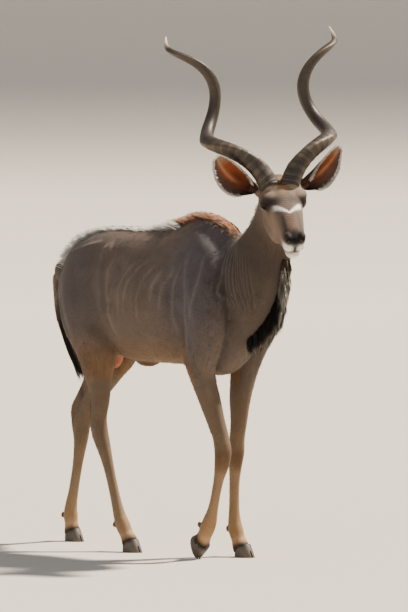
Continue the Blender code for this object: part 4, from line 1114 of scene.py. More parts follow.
def open_cut(obj, point, normal, keep_above):
    """Cuts a mesh with a plane and leaves the cut open."""
    bm = bmesh.new()
    bm.from_mesh(obj.data)
    bisect(bm, point, normal, keep_above)
    bm.to_mesh(obj.data)
    bm.free()


def join_skins(body, head):
    """Bridges the open neck of the body to that of the head, and smooths the join away."""
    bm = bmesh.new()
    bm.from_mesh(body.data)
    bm.from_mesh(head.data)
    rim = [e for e in bm.edges if e.is_boundary
           and abs((e.verts[0].co - JOIN[0]).dot(JOIN[1])) < 0.006]
    bmesh.ops.bridge_loops(bm, edges=rim)
    bmesh.ops.triangulate(bm, faces=bm.faces)
    bm.to_mesh(body.data)
    bm.free()
    bpy.data.objects.remove(head)
    face_outwards(body.data)
    point, normal = np.array(JOIN[0]), np.array(JOIN[1])
    soften(body, lambda points: np.exp(-(((points - point) @ normal) / 0.022) ** 2)
           * (np.linalg.norm(points - point, axis=1) < 0.25), SMOOTHING["join"])
    return body


def whole_skin():
    body = fuse("body", flesh_of_the_body() + [tail_core("tail")], SKIN_VOXEL)
    soften(body, body_softness, SMOOTHING["body"])
    soften(body, shoulder_softness, SMOOTHING["shoulder"])
    sculpt(body, body_strokes() + fine_strokes())
    head = fine_head()
    open_cut(body, JOIN[0] + JOIN[1] * 0.003, JOIN[1], True)
    open_cut(head, JOIN[0] - JOIN[1] * 0.003, JOIN[1], False)
    keep_largest(body)
    keep_largest(head)
    decimate(body, SKIN_TRIANGLES["body"])
    decimate(head, SKIN_TRIANGLES["head"])
    skin = join_skins(body, head)
    skin.name = "skin"
    return skin


# Fine folds of the neck's skin in side view, from the shoulder forwards; each sways by its own amount.
NECK_FOLDS = [
    ((-0.600 - 0.0165 * k, 1.285 - 0.004 * k), (-0.612 - 0.0165 * k, 1.18),
     (-0.632 - 0.0155 * k - 0.003 * math.sin(2.3 * k), 1.08),
     (-0.668 - 0.0110 * k - 0.004 * math.sin(1.7 * k), 1.03 - 0.025 * math.sin(2.9 * k))) for k in range(10)
]


def fine_strokes():
    """Folds too thin for the solids: the skin of the neck and the flank's pale lines."""
    folds = [(line, 0.0055, -0.0034) for line in NECK_FOLDS]
    return folds + [(line, 0.007, 0.0009) for line in FLANK_STRIPES]


# Hair, as fine solid locks


def solid(name, points, triangles, colours, uvs):
    """A mesh object from arrays, with its colours and bake map by vertex."""
    mesh = bpy.data.meshes.new(name)
    mesh.vertices.add(len(points))
    mesh.vertices.foreach_set("co", points.astype(np.float32).ravel())
    mesh.loops.add(len(triangles) * 3)
    mesh.loops.foreach_set("vertex_index", triangles.astype(np.int32).ravel())
    mesh.polygons.add(len(triangles))
    mesh.polygons.foreach_set("loop_start", np.arange(0, len(triangles) * 3, 3, dtype=np.int32))
    tint(mesh, colours)
    layer = mesh.uv_layers.new(name="OFBake")
    layer.uv.foreach_set("vector", uvs[triangles.ravel()].astype(np.float32).ravel())
    mesh.update(calc_edges=True)
    mesh.validate()
    return link(name, mesh)


def tint(mesh, colours):
    """Stores a colour for each vertex, in linear light."""
    attribute = mesh.color_attributes.new("tint", "FLOAT_COLOR", "POINT")
    rgba = np.ones((len(colours), 4), np.float32)
    rgba[:, :3] = colours
    attribute.data.foreach_set("color", rgba.ravel())


def unit(vectors):
    return vectors / np.maximum(np.linalg.norm(vectors, axis=1, keepdims=True), 1e-9)


LOCK_FLATNESS = 0.3


def grow(name, unwrap, roots, outward, leaves, ends, length, width, flat, root_tint, tip_tint,
         steps, sink=0.004, wave=0.0, rng=None, facing=None):
    """One mesh of many tapering locks, each of three sides, bent from `leaves` towards `ends`.

    Where `facing` is given, a lock takes the light as the skin it lies on does.
    """
    count = len(roots)
    leaves, ends = unit(leaves), unit(ends)
    length = np.broadcast_to(np.asarray(length, float), (count,))[:, None]
    width = np.broadcast_to(np.asarray(width, float), (count,))[:, None]
    foot = roots - outward * sink
    knee = roots + leaves * length * 0.5
    tip = roots + (leaves * 0.45 + ends * 0.55) * length
    swing = unit(np.cross(leaves, flat)) if wave else None
    phase = rng.uniform(0, 2 * math.pi, (count, 1)) if wave else None
    points, shades, maps = [], [], []
    root_uv = unwrap(roots)
    for k in range(steps):
        s = k / steps
        centre = foot * (1 - s) ** 2 + knee * 2 * s * (1 - s) + tip * s * s
        if wave:
            centre = centre + swing * wave * length * s * np.sin(phase + 5.0 * s)
        along = unit((knee - foot) * (1 - s) + (tip - knee) * s)
        deep = unit(flat - along * np.sum(flat * along, axis=1, keepdims=True))
        wide = np.cross(along, deep)
        share = (0.75 + 1.0 * s - 1.6 * s * s) * width / 2
        for a, b in ((1, 0), (-1, 0), (0, 1)):
            points.append(centre + wide * share * a + deep * share * 2 * LOCK_FLATNESS * b)
            shades.append(root_tint * (1 - s) + tip_tint * s)
            maps.append(root_uv + np.array([(a * 0.0015, s * 0.003)]))
    end = tip + (swing * wave * length * np.sin(phase + 5.0) if wave else 0)
    points.append(end)
    shades.append(tip_tint)
    maps.append(root_uv + np.array([(0.0, 0.003)]))
    each = 3 * steps + 1
    faces = [(0, 2, 1)]
    for k in range(steps - 1):
        a, b = 3 * k, 3 * k + 3
        for i in range(3):
            j = (i + 1) % 3
            faces += [(a + i, a + j, b + i), (a + j, b + j, b + i)]
    last = 3 * (steps - 1)
    faces += [(last + i, last + (i + 1) % 3, each - 1) for i in range(3)]
    points = np.stack(points, axis=1).reshape(-1, 3)
    shades = np.stack(shades, axis=1).reshape(-1, 3)
    maps = np.stack(maps, axis=1).reshape(-1, 2)
    triangles = (np.arange(count)[:, None, None] * each + np.array(faces)[None]).reshape(-1, 3)
    obj = solid(name, points, triangles, shades, maps)
    if facing is not None:
        obj.data.shade_smooth()
        obj.data.normals_split_custom_set_from_vertices(np.repeat(facing, each, axis=0).tolist())
    return obj


def cast(tree, starts, directions):
    """Where rays meet the skin: the rays that hit, the places and the normals."""
    kept, places, outward = [], [], []
    for k, (start, direction) in enumerate(zip(starts, directions)):
        place, normal, _, _ = tree.ray_cast(Vector(start), Vector(direction).normalized())
        if place:
            kept.append(k)
            places.append(place)
            outward.append(normal)
    return np.array(kept, int), np.array(places), np.array(outward)


class Unwrap:
    """A flat map of the skin's own shape, read at any place on it."""

    def __init__(self, skin):
        coarse = copy_of(skin, "unwrap")
        decimate(coarse, UNWRAP_TRIANGLES)
        bpy.context.view_layer.objects.active = coarse
        coarse.select_set(True)
        bpy.ops.object.mode_set(mode="EDIT")
        bpy.ops.mesh.select_all(action="SELECT")
        bpy.ops.uv.smart_project(angle_limit=math.radians(66), island_margin=0.004)
        bpy.ops.object.mode_set(mode="OBJECT")
        mesh = coarse.data
        self.corners = [[Vector(mesh.vertices[v].co) for v in p.vertices] for p in mesh.polygons]
        flat = [0.0] * (2 * len(mesh.loops))
        mesh.uv_layers.active.uv.foreach_get("vector", flat)
        self.flat = [[Vector((flat[2 * k], flat[2 * k + 1], 0)) for k in p.loop_indices]
                     for p in mesh.polygons]
        self.tree = tree_of(coarse)
        bpy.data.objects.remove(coarse)

    def __call__(self, places):
        found = np.zeros((len(places), 2))
        for k, place in enumerate(places):
            spot, _, face, _ = self.tree.find_nearest(Vector(place))
            uv = barycentric_transform(spot, *self.corners[face], *self.flat[face])
            found[k] = uv.x, uv.y
        return np.clip(found, 0.002, 0.995)


# The markings, shared by skin and coat


def soft_edge(distance, edge, blur):
    return 1 / (1 + np.exp(np.clip((distance - edge) / blur, -40, 40)))


def patch(points, centre, radii, blur=0.18):
    """1 inside an ellipsoid, fading to 0 outside it."""
    return soft_edge(np.linalg.norm((points - np.array(centre)) / np.array(radii), axis=1), 1, blur)


def stripe(points, line, width):
    """1 on a line drawn in side view (y, z), fading over its width."""
    gap, place = distance_to_line(points[:, 1:], line)
    return np.exp(-((gap / width) ** 2)) * np.minimum(1, 6 * np.minimum(place, 1 - place) + 0.1)


def lay(colours, mask, code, strength=1.0):
    """Lays one colour over another where the mask says."""
    share = np.clip(mask * strength, 0, 1)[:, None]
    return colours * (1 - share) + np.array(linear(code)) * share


# Pale lines of the flank in side view: along the ribs, at the hip and along the shoulder blade.
FLANK_STRIPES = (
    ((-0.116, 1.199), (-0.056, 1.133), (-0.036, 1.072), (-0.049, 0.990)),
    ((-0.196, 1.211), (-0.136, 1.162), (-0.096, 1.113), (-0.089, 1.031)),
    ((-0.243, 1.186), (-0.196, 1.133), (-0.176, 1.063), (-0.176, 0.957)),
    ((-0.289, 1.162), (-0.256, 1.100), (-0.256, 1.031)),
    ((-0.349, 1.174), (-0.309, 1.104), (-0.309, 0.990)),
    ((-0.389, 1.186), (-0.362, 1.092), (-0.369, 0.990), (-0.396, 0.887)),
    ((-0.436, 1.250), (-0.436, 1.113), (-0.470, 0.998), (-0.503, 0.904)),
    ((0.044, 1.236), (0.070, 1.154), (0.064, 1.072), (0.030, 0.928), (-0.003, 0.867)),
    ((-0.530, 1.264), (-0.540, 1.150), (-0.530, 1.030), (-0.517, 0.965)),
)


def layered(colours, layers):
    """Lays colours over one another in order: where, which colour and how strongly."""
    for mask, code, strength in layers:
        colours = lay(colours, mask, code, strength)
    return colours


def body_tint(points):
    """Slate shoulder and thigh, tan belly, sandy shins, dark knees and coronets, and pale lines; painted
    shade in the hock grooves, in the neck's folds and under the head, and a painted highlight along each
    fold.
    """
    colours = np.tile(np.array(linear("#6a5e55")), (len(points), 1))
    y, z = points[:, 1], points[:, 2]
    fore = soft_edge(y, -0.2, 0.02)
    # Painted shade: dark lines in the grooves between the hock cords and the shins.
    hock_groove_shade = (stripe(points, ((0.26, 0.66), (0.24, 0.56)), 0.02)
             + stripe(points, ((0.60, 0.66), (0.56, 0.60)), 0.02))
    knees = (patch(points, (0.09, -0.49, 0.395), (0.08, 0.045, 0.045))
             + patch(points, (-0.1, -0.635, 0.400), (0.08, 0.050, 0.050)))
    thigh_back = ((0.58, 1.06), (0.53, 0.92), (0.42, 0.81), (0.32, 0.72))
    groin = ((0.18, 0.93), (0.10, 0.86), (0.08, 0.80))
    belly = soft_edge(z, 0.84, 0.030) * (z > 0.7) * (np.abs(y + 0.05) < 0.45)
    layers = [
        (np.clip((z - 1.20) / 0.12, 0, 1), "#7b6b5e", 1.0),
        (patch(points, (0, -0.50, 1.12), (0.4, 0.19, 0.30)), "#56535a", 0.78),
        (patch(points, (0, 0.33, 1.02), (0.4, 0.24, 0.26)), "#534e50", 0.70),
        (belly, "#86633f", 0.60),
        (soft_edge(z, 0.70, 0.06), "#75624f", 0.85),
        (soft_edge(z, 0.42, 0.06) * fore, "#9c8266", 0.85),
        (soft_edge(z, 0.36, 0.06) * (1 - fore), "#938067", 0.80),
        (soft_edge(z, 0.17, 0.03), "#a98560", 0.55),
        (stripe(points, thigh_back, 0.030), "#8f6844", 0.60),
        (stripe(points, groin, 0.03), "#4a3c30", 0.5),
        # Painted shade in the hock grooves.
        (hock_groove_shade, "#3d2f25", 0.6),
        (knees, "#4f3523", 0.60),
        # Painted shadow of the head, darkening the upper neck.
        (patch(points, (0, -0.76, 1.12), (0.4, 0.17, 0.22), 0.25), "#51473f", 0.65),
    ]
    layers += [(stripe(points, line, 0.0085), "#9c9084", 0.22) for line in FLANK_STRIPES]
    # Painted shade in each fold of the neck, and a painted highlight along its edge.
    for line in NECK_FOLDS:
        fold_highlight_line = tuple((a - 0.0075, b) for a, b in line)
        layers += [(stripe(points, line, 0.0045), "#2f2a28", 0.34),
                   (stripe(points, fold_highlight_line, 0.0030), "#9c8f84", 0.20)]
    for foot in FEET:
        point, normal = coronet_plane(foot)
        height = (points - np.array(point)) @ np.array(normal)
        near = np.linalg.norm(points - np.array(point), axis=1) < 0.09
        layers += [(soft_edge(height, 0.010, 0.003) * near, "#2e231c", 0.9),
                   (np.exp(-(((height - 0.030) / 0.012) ** 2)) * near, "#c2a184", 0.5)]
    for x, y0, z0 in DEW_CLAWS:
        layers.append((patch(points, (x, y0 + 0.005, z0), (0.03, 0.020, 0.020)), "#221c18", 0.9))
    layers += [(patch(points, (0, 0.245, 0.79), (0.05, 0.07, 0.07)), "#bb7a62", 0.9),
               (patch(points, (0, 0.015, 0.772), (0.04, 0.085, 0.022)), "#5a3d2a", 0.8)]
    return layered(colours, layers)


def head_tint(points, colours):
    """Grey-brown face with dark eyes and streaks, the white chevron, black nose, white lips and chin; painted
    shadow of the head on the neck, and painted shade round the eyes and in the bridge's wrinkles.
    """
    across, along, above = head_coordinates(points)
    aside, flat = np.abs(across), folded_head(points)
    near = np.linalg.norm(points - np.array(EYES_MIDPOINT), axis=1) < 0.33

    def spot(centre, radii, code, strength, blur=0.18):
        return patch(flat, centre, radii, blur), code, strength

    streak = np.exp(-(((aside - 0.030) / 0.009) ** 2)) * (above > -0.01)
    streak = streak * np.clip((along - 0.11) / 0.03, 0, 1)
    bridge = np.exp(-((aside / 0.022) ** 4)) * np.clip((along - 0.10) / 0.03, 0, 1) * (above > -0.02)
    # Painted shade: dark lines in the wrinkles across the bridge of the nose.
    wrinkle = 0.5 + 0.5 * np.sin(2 * math.pi * (along + 0.35 * aside + 0.004 * np.sin(90 * across)) / 0.0085)
    breadth = 0.007 + 0.20 * np.minimum(aside, 0.04)
    chevron = np.exp(-(((along - 0.126 + 0.92 * aside) / breadth) ** 4)) * (above > 0.012)
    cleft = np.exp(-((aside / 0.0035) ** 2)) * (along > 0.225) * (above > -0.062) * (above < 0.01)
    lips = np.exp(-(((above - np.interp(along, *zip(*MOUTH))) / 0.0036) ** 2)) * (along > 0.143)
    return layered(colours, [
        # Painted shadow of the head on the upper neck.
        (patch(points, (0, -0.80, 1.26), (0.25, 0.12, 0.17), 0.25), "#453b35", 0.7),
        spot((0, 0.06, -0.045), (0.118, 0.215, 0.118), "#75685d", 0.9, 0.10),
        spot((0.062, 0.12, -0.05), (0.035, 0.10, 0.06), "#8f7968", 0.8, 0.3),
        spot((0.054, -0.012, 0.048), (0.036, 0.042, 0.022), "#9a8877", 0.85),
        spot((0, -0.05, 0.06), (0.020, 0.06, 0.05), "#b08a68", 0.8),
        (streak * near, "#4a3d36", 0.65),
        (bridge * soft_edge(along, 0.215, 0.008) * near, "#8d6f5c", 0.75),
        # Painted shade in the bridge's wrinkles.
        (bridge * soft_edge(along, 0.205, 0.01) * near * wrinkle, "#4f4038", 0.40),
        spot((0.048, 0.046, 0.042), (0.030, 0.022, 0.022), "#3d332e", 0.8, 0.3),
        # Dark patch round the eye: partly the dark skin there, partly painted shade under the brow.
        spot((0.074, 0.024, 0.012), (0.036, 0.033, 0.030), "#17110e", 0.96),
        (chevron * soft_edge(aside, 0.054, 0.003) * near, "#f4f0ea", 0.97),
        spot((0.088, 0.004, -0.020), (0.016, 0.026, 0.007), "#cdbfb0", 0.5),
        spot((0.0, 0.232, 0.004), (0.050, 0.030, 0.032), "#352a22", 0.80),
        spot((0.0, 0.250, 0.006), (0.045, 0.028, 0.024), "#120f0e", 0.98),
        spot((0.0, 0.254, -0.025), (0.014, 0.030, 0.026), "#120f0e", 0.97),
        spot((0.028, 0.243, -0.037), (0.021, 0.032, 0.020), "#f6f3ee", 0.97),
        spot((0.0, 0.222, -0.094), (0.034, 0.044, 0.024), "#f1ede6", 0.97),
        (cleft * near, "#120f0e", 0.95),
        (lips * near, "#1d1614", 0.95),
    ])


def ear_place(points, side):
    """For points near an ear: share of its length, angle round its curl and how much they face in."""
    along, opening, across = (np.array(v) for v in ear_axes(side))
    offset = points - np.array(ear_axis_point(side, 0))
    place = offset @ along / EAR_LENGTH
    sway = offset @ across - EAR_BEND * np.sin(math.pi * np.clip(place, 0, 1))
    depth = offset @ opening
    radius = np.interp(place, [r[0] for r in EAR_CURL], [r[1] for r in EAR_CURL])
    half = np.radians(np.interp(place, [r[0] for r in EAR_CURL], [r[2] for r in EAR_CURL]))
    centre_depth = radius * CUP_DEPTH - CUP_SHIFT
    angle = np.arctan2(sway, -(depth - centre_depth)) / np.maximum(half, 0.1)
    distance = np.hypot(sway, depth - centre_depth)
    there = (place > 0.10) & (place < 1.08) & (distance < radius + 0.012)
    return place, angle, distance - radius, there


def ear_tint(points, colours):
    """Dark back, white rim, and a rust-red cup with a grey lower half, with painted shade deep in the cup and
    at its base.
    """
    for side in (1, -1):
        place, angle, depth, there = ear_place(points, side)
        inner = there & (depth < -0.0022)
        outer = there & ~inner
        rim = np.clip((np.abs(angle) - 0.86) / 0.08, 0, 1) * np.clip((place - 0.22) / 0.06, 0, 1)
        rim = np.maximum(rim, np.clip((place - 0.955) / 0.02, 0, 1))
        # Painted shade deep in the cup.
        deep = np.exp(-(((place - 0.45) / 0.16) ** 2) - (angle / 0.5) ** 2)
        streak = np.exp(-(((angle - 0.16) / 0.10) ** 2)) * np.clip((place - 0.3) / 0.2, 0, 1)
        colours = layered(colours, [
            (outer, "#5d534c", 0.9),
            (outer * np.clip((place - 0.5) / 0.3, 0, 1), "#3a332f", 0.6),
            (inner, "#7f4326", 0.97),
            (inner * np.clip((place - 0.74) / 0.2, 0, 1), "#9d8c7d", 0.65),
            # Painted shade deep in the cup.
            (inner * deep, "#4c1c0d", 0.7),
            (inner * np.clip((angle - 0.25) / 0.35, 0, 1), "#544a45", 0.85),
            (inner * streak, "#b98a6a", 0.6),
            # Painted shade where the cup narrows towards the ear's base.
            (inner * soft_edge(place, 0.26, 0.05), "#241812", 0.85),
            (there * rim, "#e8e1d8", 0.85),
        ])
    return colours


def coat_tint(points):
    return ear_tint(points, head_tint(points, body_tint(points)))


def spread(tree, noise, low, high):
    """Maps the middle range of a noise to values from low to high."""
    values = {"From Min": 0.3, "From Max": 0.7, "To Min": low, "To Max": high}
    return add_node(tree, "ShaderNodeMapRange", values=values, links={"Value": noise.outputs["Fac"]})


def fibrous_material(name, stretch, grain, detail, roughness, bump):
    """A material with the relief of fine fibres, drawn out by `stretch`, and the noise that makes them."""
    material, tree, shader = new_material(name)
    place = add_node(tree, "ShaderNodeTexCoord")
    drawn_out = add_node(tree, "ShaderNodeMapping", values={"Scale": stretch},
                         links={"Vector": place.outputs["Object"]})
    fibres = add_node(tree, "ShaderNodeTexNoise",
                      values={"Scale": 1000 / grain, "Detail": detail, "Roughness": roughness},
                      links={"Vector": drawn_out.outputs["Vector"]})
    raised = add_node(tree, "ShaderNodeBump", values={"Strength": bump, "Distance": 0.002},
                      links={"Height": fibres.outputs["Fac"]})
    tree.links.new(raised.outputs[0], shader.inputs["Normal"])
    return material, tree, shader, place, fibres


def shaded_tint(tree, shader, factor):
    """The marking's colour, made lighter and darker by a factor."""
    marking = add_node(tree, "ShaderNodeAttribute", {"attribute_name": "tint"})
    colour = add_node(tree, "ShaderNodeVectorMath", {"operation": "SCALE"},
                      links={0: marking.outputs["Color"], "Scale": factor.outputs[0]})
    tree.links.new(colour.outputs[0], shader.inputs["Base Color"])


def coat_material(name, grain, bump, roughness):
    """Short hair: the marking's colour, flecked by hair, with a fine nap that lies along the body."""
    material, tree, shader, place, hairs = fibrous_material(name, (1.0, 0.28, 0.45), grain, 3.0, 0.6, bump)
    mottle = add_node(tree, "ShaderNodeTexNoise", values={"Scale": 11.0, "Detail": 4.0},
                      links={"Vector": place.outputs["Object"]})
    both = add_node(tree, "ShaderNodeMath", {"operation": "MULTIPLY"},
                    links={0: spread(tree, hairs, 0.80, 1.16).outputs[0],
                           1: spread(tree, mottle, 0.90, 1.09).outputs[0]})
    shaded_tint(tree, shader, both)
    shader.inputs["Roughness"].default_value = roughness
    shader.inputs["Sheen Weight"].default_value = 0.06
    shader.inputs["Sheen Roughness"].default_value = 0.5
    shader.inputs["Specular IOR Level"].default_value = 0.35
    return material


def keratin_material(name, grain, stretch, bump, roughness):
    """Horn and hoof: layered keratin that grows in fine lengthwise fibres and dulls where it rubs."""
    material, tree, shader, _, fibres = fibrous_material(name, stretch, grain, 5.0, 0.65, bump)
    shaded_tint(tree, shader, spread(tree, fibres, 0.65, 1.30))
    rub = spread(tree, fibres, roughness - 0.1, roughness + 0.15)
    tree.links.new(rub.outputs[0], shader.inputs["Roughness"])
    return material


def eye_material():
    """A wet eyeball: dark brown iris and pupil, smooth enough to mirror the key light as a glint."""
    material, tree, shader = new_material("wet eyeball")
    tint_node = add_node(tree, "ShaderNodeAttribute", {"attribute_name": "tint"})
    tree.links.new(tint_node.outputs["Color"], shader.inputs["Base Color"])
    shader.inputs["Roughness"].default_value = 0.10
    shader.inputs["IOR"].default_value = 1.38
    return material


def wear(obj, material, smooth=True):
    obj.data.materials.clear()
    obj.data.materials.append(material)
    if smooth:
        obj.data.shade_smooth()


# Horns, hooves and eyes


FINE_RING_ROWS = 9
FINE_SIDES = 40
FINE_ROWS = 100
HORN_SHADES = ("#3a332d", "#7b6c5b", "#d2c4ab")


def growth_ring(t, angle):
    """How high the horn's rings stand at one place: uneven, broken round the horn and fading upwards."""
    if not 0 < t < HORN_RINGED_PART:
        return 0.0
    pitch = HORN_RINGED_PART / HORN_RINGS
    phase = t / pitch + 0.22 * math.sin(t * 31) + 0.10 * math.sin(2 * angle + t * 17)
    sharp = (0.5 - 0.5 * math.cos(2 * math.pi * phase)) ** 3
    second = (0.5 - 0.5 * math.cos(2 * math.pi * (2.3 * phase + 0.3))) ** 2
    broken = 0.70 + 0.30 * math.sin(3 * angle + 9 * t)
    return (0.75 * sharp + 0.30 * second) * broken * min(1, (HORN_RINGED_PART - t) / 0.16)


def fine_horn(name, side):
    """The horn with growth rings that fade up its length, a pale keel and ring ridges that are partly wear
    and partly painted highlight, and a pale tip.
    """
    ringed_rows = HORN_RINGS * FINE_RING_ROWS
    places = [HORN_START] + list(np.linspace(0, HORN_RINGED_PART, ringed_rows, endpoint=False))
    places += list(np.linspace(HORN_RINGED_PART, HORN_END, FINE_ROWS))
    rings, shades = [], []
    dark, brown, pale = (np.array(linear(c)) for c in HORN_SHADES)
    for t in places:
        centre = horn_centre(side, t)
        along = (horn_centre(side, t + 0.01) - horn_centre(side, t - 0.01)).normalized()
        outward = horn_outward(side, max(t, 0.07))
        outward = (outward - along * outward.dot(along)).normalized()
        across = along.cross(outward)
        radius = np.interp(t, *zip(*HORN_RADIUS))
        tip_share = np.clip((t - 0.86) / 0.07, 0, 1)
        ring = []
        for angle in turns(FINE_SIDES):
            off = min(angle, 2 * math.pi - angle)
            keel = 1 + HORN_KEEL * math.exp(-((off / 0.5) ** 2))
            raised = growth_ring(t, angle)
            reach = radius * keel + HORN_RING_HEIGHT * raised
            ring.append(centre + (outward * math.cos(angle) + across * math.sin(angle)) * reach)
            # Keel and ring ridges paler: partly wear, partly painted highlight.
            colour = dark + (brown - dark) * (0.30 * t + 0.55 * raised + 0.35 * math.exp(-((off / 0.4) ** 2)))
            shades.append(colour * (1 - tip_share) + pale * tip_share)
        rings.append(ring)
    obj = loft_rings(name, rings)
    shades += [shades[0], shades[-1]]
    tint(obj.data, np.array(shades))
    return obj


def fine_eye(name, side):
    """An eyeball whose iris and pupil look out and a little ahead."""
    centre = eye_centre(side)
    obj = blob(name, centre, (EYE_RADIUS - 0.0004,) * 3, face_axes(), 48)
    gaze = eye_axes(side)[0].normalized()
    points = coordinates(obj.data)
    offset = unit(points - np.array(centre))
    facing = offset @ np.array(gaze)
    colours = np.tile(np.array(linear("#2a1b12")), (len(points), 1))
    colours = lay(colours, soft_edge(-facing, -0.62, 0.03), "#150e0a")
    colours = lay(colours, soft_edge(-facing, -0.86, 0.02), "#030303")
    tint(obj.data, colours)
    return obj


def fine_hoof(name, leg):
    obj = hoof(name, leg)
    bevel = obj.modifiers.new("worn edges", "BEVEL")
    bevel.width = 0.0012
    bevel.segments = 2
    bevel.limit_method = "ANGLE"
    bevel.angle_limit = math.radians(40)
    bake(obj)
    points = coordinates(obj.data)
    point, normal = coronet_plane(leg)
    below = -(points - np.array(point)) @ np.array(normal)
    colours = np.tile(np.array(linear("#6d645b")), (len(points), 1))
    colours = lay(colours, soft_edge(below, 0.007, 0.002), "#2a211b", 0.9)
    tint(obj.data, colours)
    return obj


# Where the long hair grows


WHITE, ORANGE, CREAM, BLACK = (np.array(linear(c)) for c in ("#f1ece2", "#a06234", "#d8c9b2", "#17130f"))
GREY_HAIR = np.array(linear("#857a70"))
BROWN_HAIR = np.array(linear("#6d5844"))
# How many locks each place gets, and how wide they are.
LOCKS = {"spine": (4600, 0.0032), "hump": (2600, 0.0032), "nape": (1800, 0.0028),
         "throat": (5600, 0.0028), "tail": (2600, 0.0032), "ear": (1500, 0.0016)}
FRINGE_CLUMPS = 330
FRINGE_TOP = 1.222
FRINGE_END = 0.885


def back_locks(tree, rng, count, reach, middle, width, lengths, vary, splay, lean, rise, jitter):
    """Draws the locks along the back: their roots, directions and lengths.

    `lengths` gives the length by place, `vary` its random share, `splay` how far the locks fall to
    the sides, `lean` how they leave the skin (back, up), `rise` where they end and `jitter` the
    spread of the three directions.
    """
    y = rng.uniform(*reach, count)
    x = rng.normal(middle, width, count)
    starts = np.stack([x, y, np.full(count, 2.0)], axis=1)
    kept, roots, outward = cast(tree, starts, np.tile((0, 0, -1.0), (count, 1)))
    x, y, count = x[kept], y[kept], len(kept)
    length = np.interp(y, *lengths) * rng.uniform(*vary, count)
    leaves = np.stack([x * splay + rng.normal(0, jitter[0], count), lean[0] + rng.normal(0, jitter[1], count),
                       lean[1] + rng.normal(0, jitter[2], count)], axis=1)
    ends = np.stack([x * 8, np.ones(count), rise + rng.normal(0, 0.1, count)], axis=1)
    flat = np.stack([np.ones(count), rng.normal(0, 0.3, count), rng.normal(0, 0.3, count)], axis=1)
    return y, roots, outward, leaves, ends, length, flat


def spine_hair(tree, unwrap, rng):
    """The white crest that lies back along the spine."""
    lengths = ((-0.20, -0.13, -0.05, 0.20, 0.40, 0.57), (0.078, 0.066, 0.038, 0.042, 0.060, 0.046))
    y, roots, outward, leaves, ends, length, flat = back_locks(
        tree, rng, LOCKS["spine"][0], (-0.24, 0.57), -0.002, 0.011, lengths, (0.7, 1.2),
        12, (0.8, 0.62), -0.10, (0.12, 0.1, 0.14))
    leaves += outward * 0.2
    root_tint = np.tile(WHITE * 0.92, (len(y), 1)) * rng.uniform(0.85, 1.05, (len(y), 1))
    return grow("crest_spine", unwrap, roots, outward, leaves, ends, length, LOCKS["spine"][1], flat,
                root_tint, np.tile(WHITE, (len(y), 1)), steps=3, facing=unit(outward + leaves * 0.2))


def hump_hair(tree, unwrap, rng):
    """The orange-brown crest over the withers, pale along its upper edge."""
    lengths = ((-0.59, -0.45, -0.30, -0.17), (0.045, 0.058, 0.056, 0.066))
    y, roots, outward, leaves, ends, length, flat = back_locks(
        tree, rng, LOCKS["hump"][0], (-0.59, -0.17), 0, 0.009, lengths, (0.75, 1.15),
        10, (0.55, 0.75), 0.1, (0.1, 0.1, 0.1))
    white = np.clip((y + 0.235) / 0.04, 0, 1)[:, None]
    root_tint = ORANGE * (1 - white) + WHITE * white
    root_tint = root_tint * rng.uniform(0.75, 1.1, (len(y), 1))
    pale = np.maximum(white, rng.uniform(0.0, 0.6, (len(y), 1)))
    tip_tint = ORANGE * 1.25 * (1 - pale) + WHITE * pale
    return grow("crest_hump", unwrap, roots, outward, leaves, ends, length, LOCKS["hump"][1], flat,
                root_tint, tip_tint, steps=3, facing=unit(outward + leaves * 0.2))


def nape_hair(tree, unwrap, rng):
    """The short mane up the back of the neck."""
    count, width = LOCKS["nape"]
    u = rng.uniform(0, 1, count)
    withers, poll = np.array((-0.007, -0.58, 1.23)), np.array((-0.010, -0.815, 1.56))
    starts = withers * (1 - u[:, None]) + poll * u[:, None]
    starts[:, 0] += rng.normal(0, 0.009, count)
    starts = starts + np.array((0, 0.25, 0.20))
    kept, roots, outward = cast(tree, starts, np.tile((0, -0.78, -0.62), (count, 1)))
    count = len(kept)
    side = (roots[:, 0] + 0.008)[:, None]
    leaves = outward * 0.9 + np.array((0, 0.35, -0.45)) + side * np.array((8, 0, 0))
    leaves = leaves + rng.normal(0, 0.12, (count, 3))
    ends = np.tile((0, 0.30, -1.0), (count, 1)) + rng.normal(0, 0.1, (count, 3))
    flat = np.tile((1.0, 0, 0), (count, 1)) + rng.normal(0, 0.3, (count, 3))
    tone = rng.uniform(0.8, 1.15, (count, 1))
    length = rng.uniform(0.022, 0.040, count)
    return grow("mane_nape", unwrap, roots, outward, leaves, ends, length, width, flat,
                ORANGE * 0.8 * tone, CREAM * 0.8 * tone, steps=3, facing=unit(outward + leaves * 0.3))


def clumped(rng, clump, spread, stray=0.35):
    """Random numbers that hairs of one clump mostly share."""
    together = rng.normal(0, spread, clump.max() + 1)[clump]
    return together + rng.normal(0, spread * stray, len(clump))


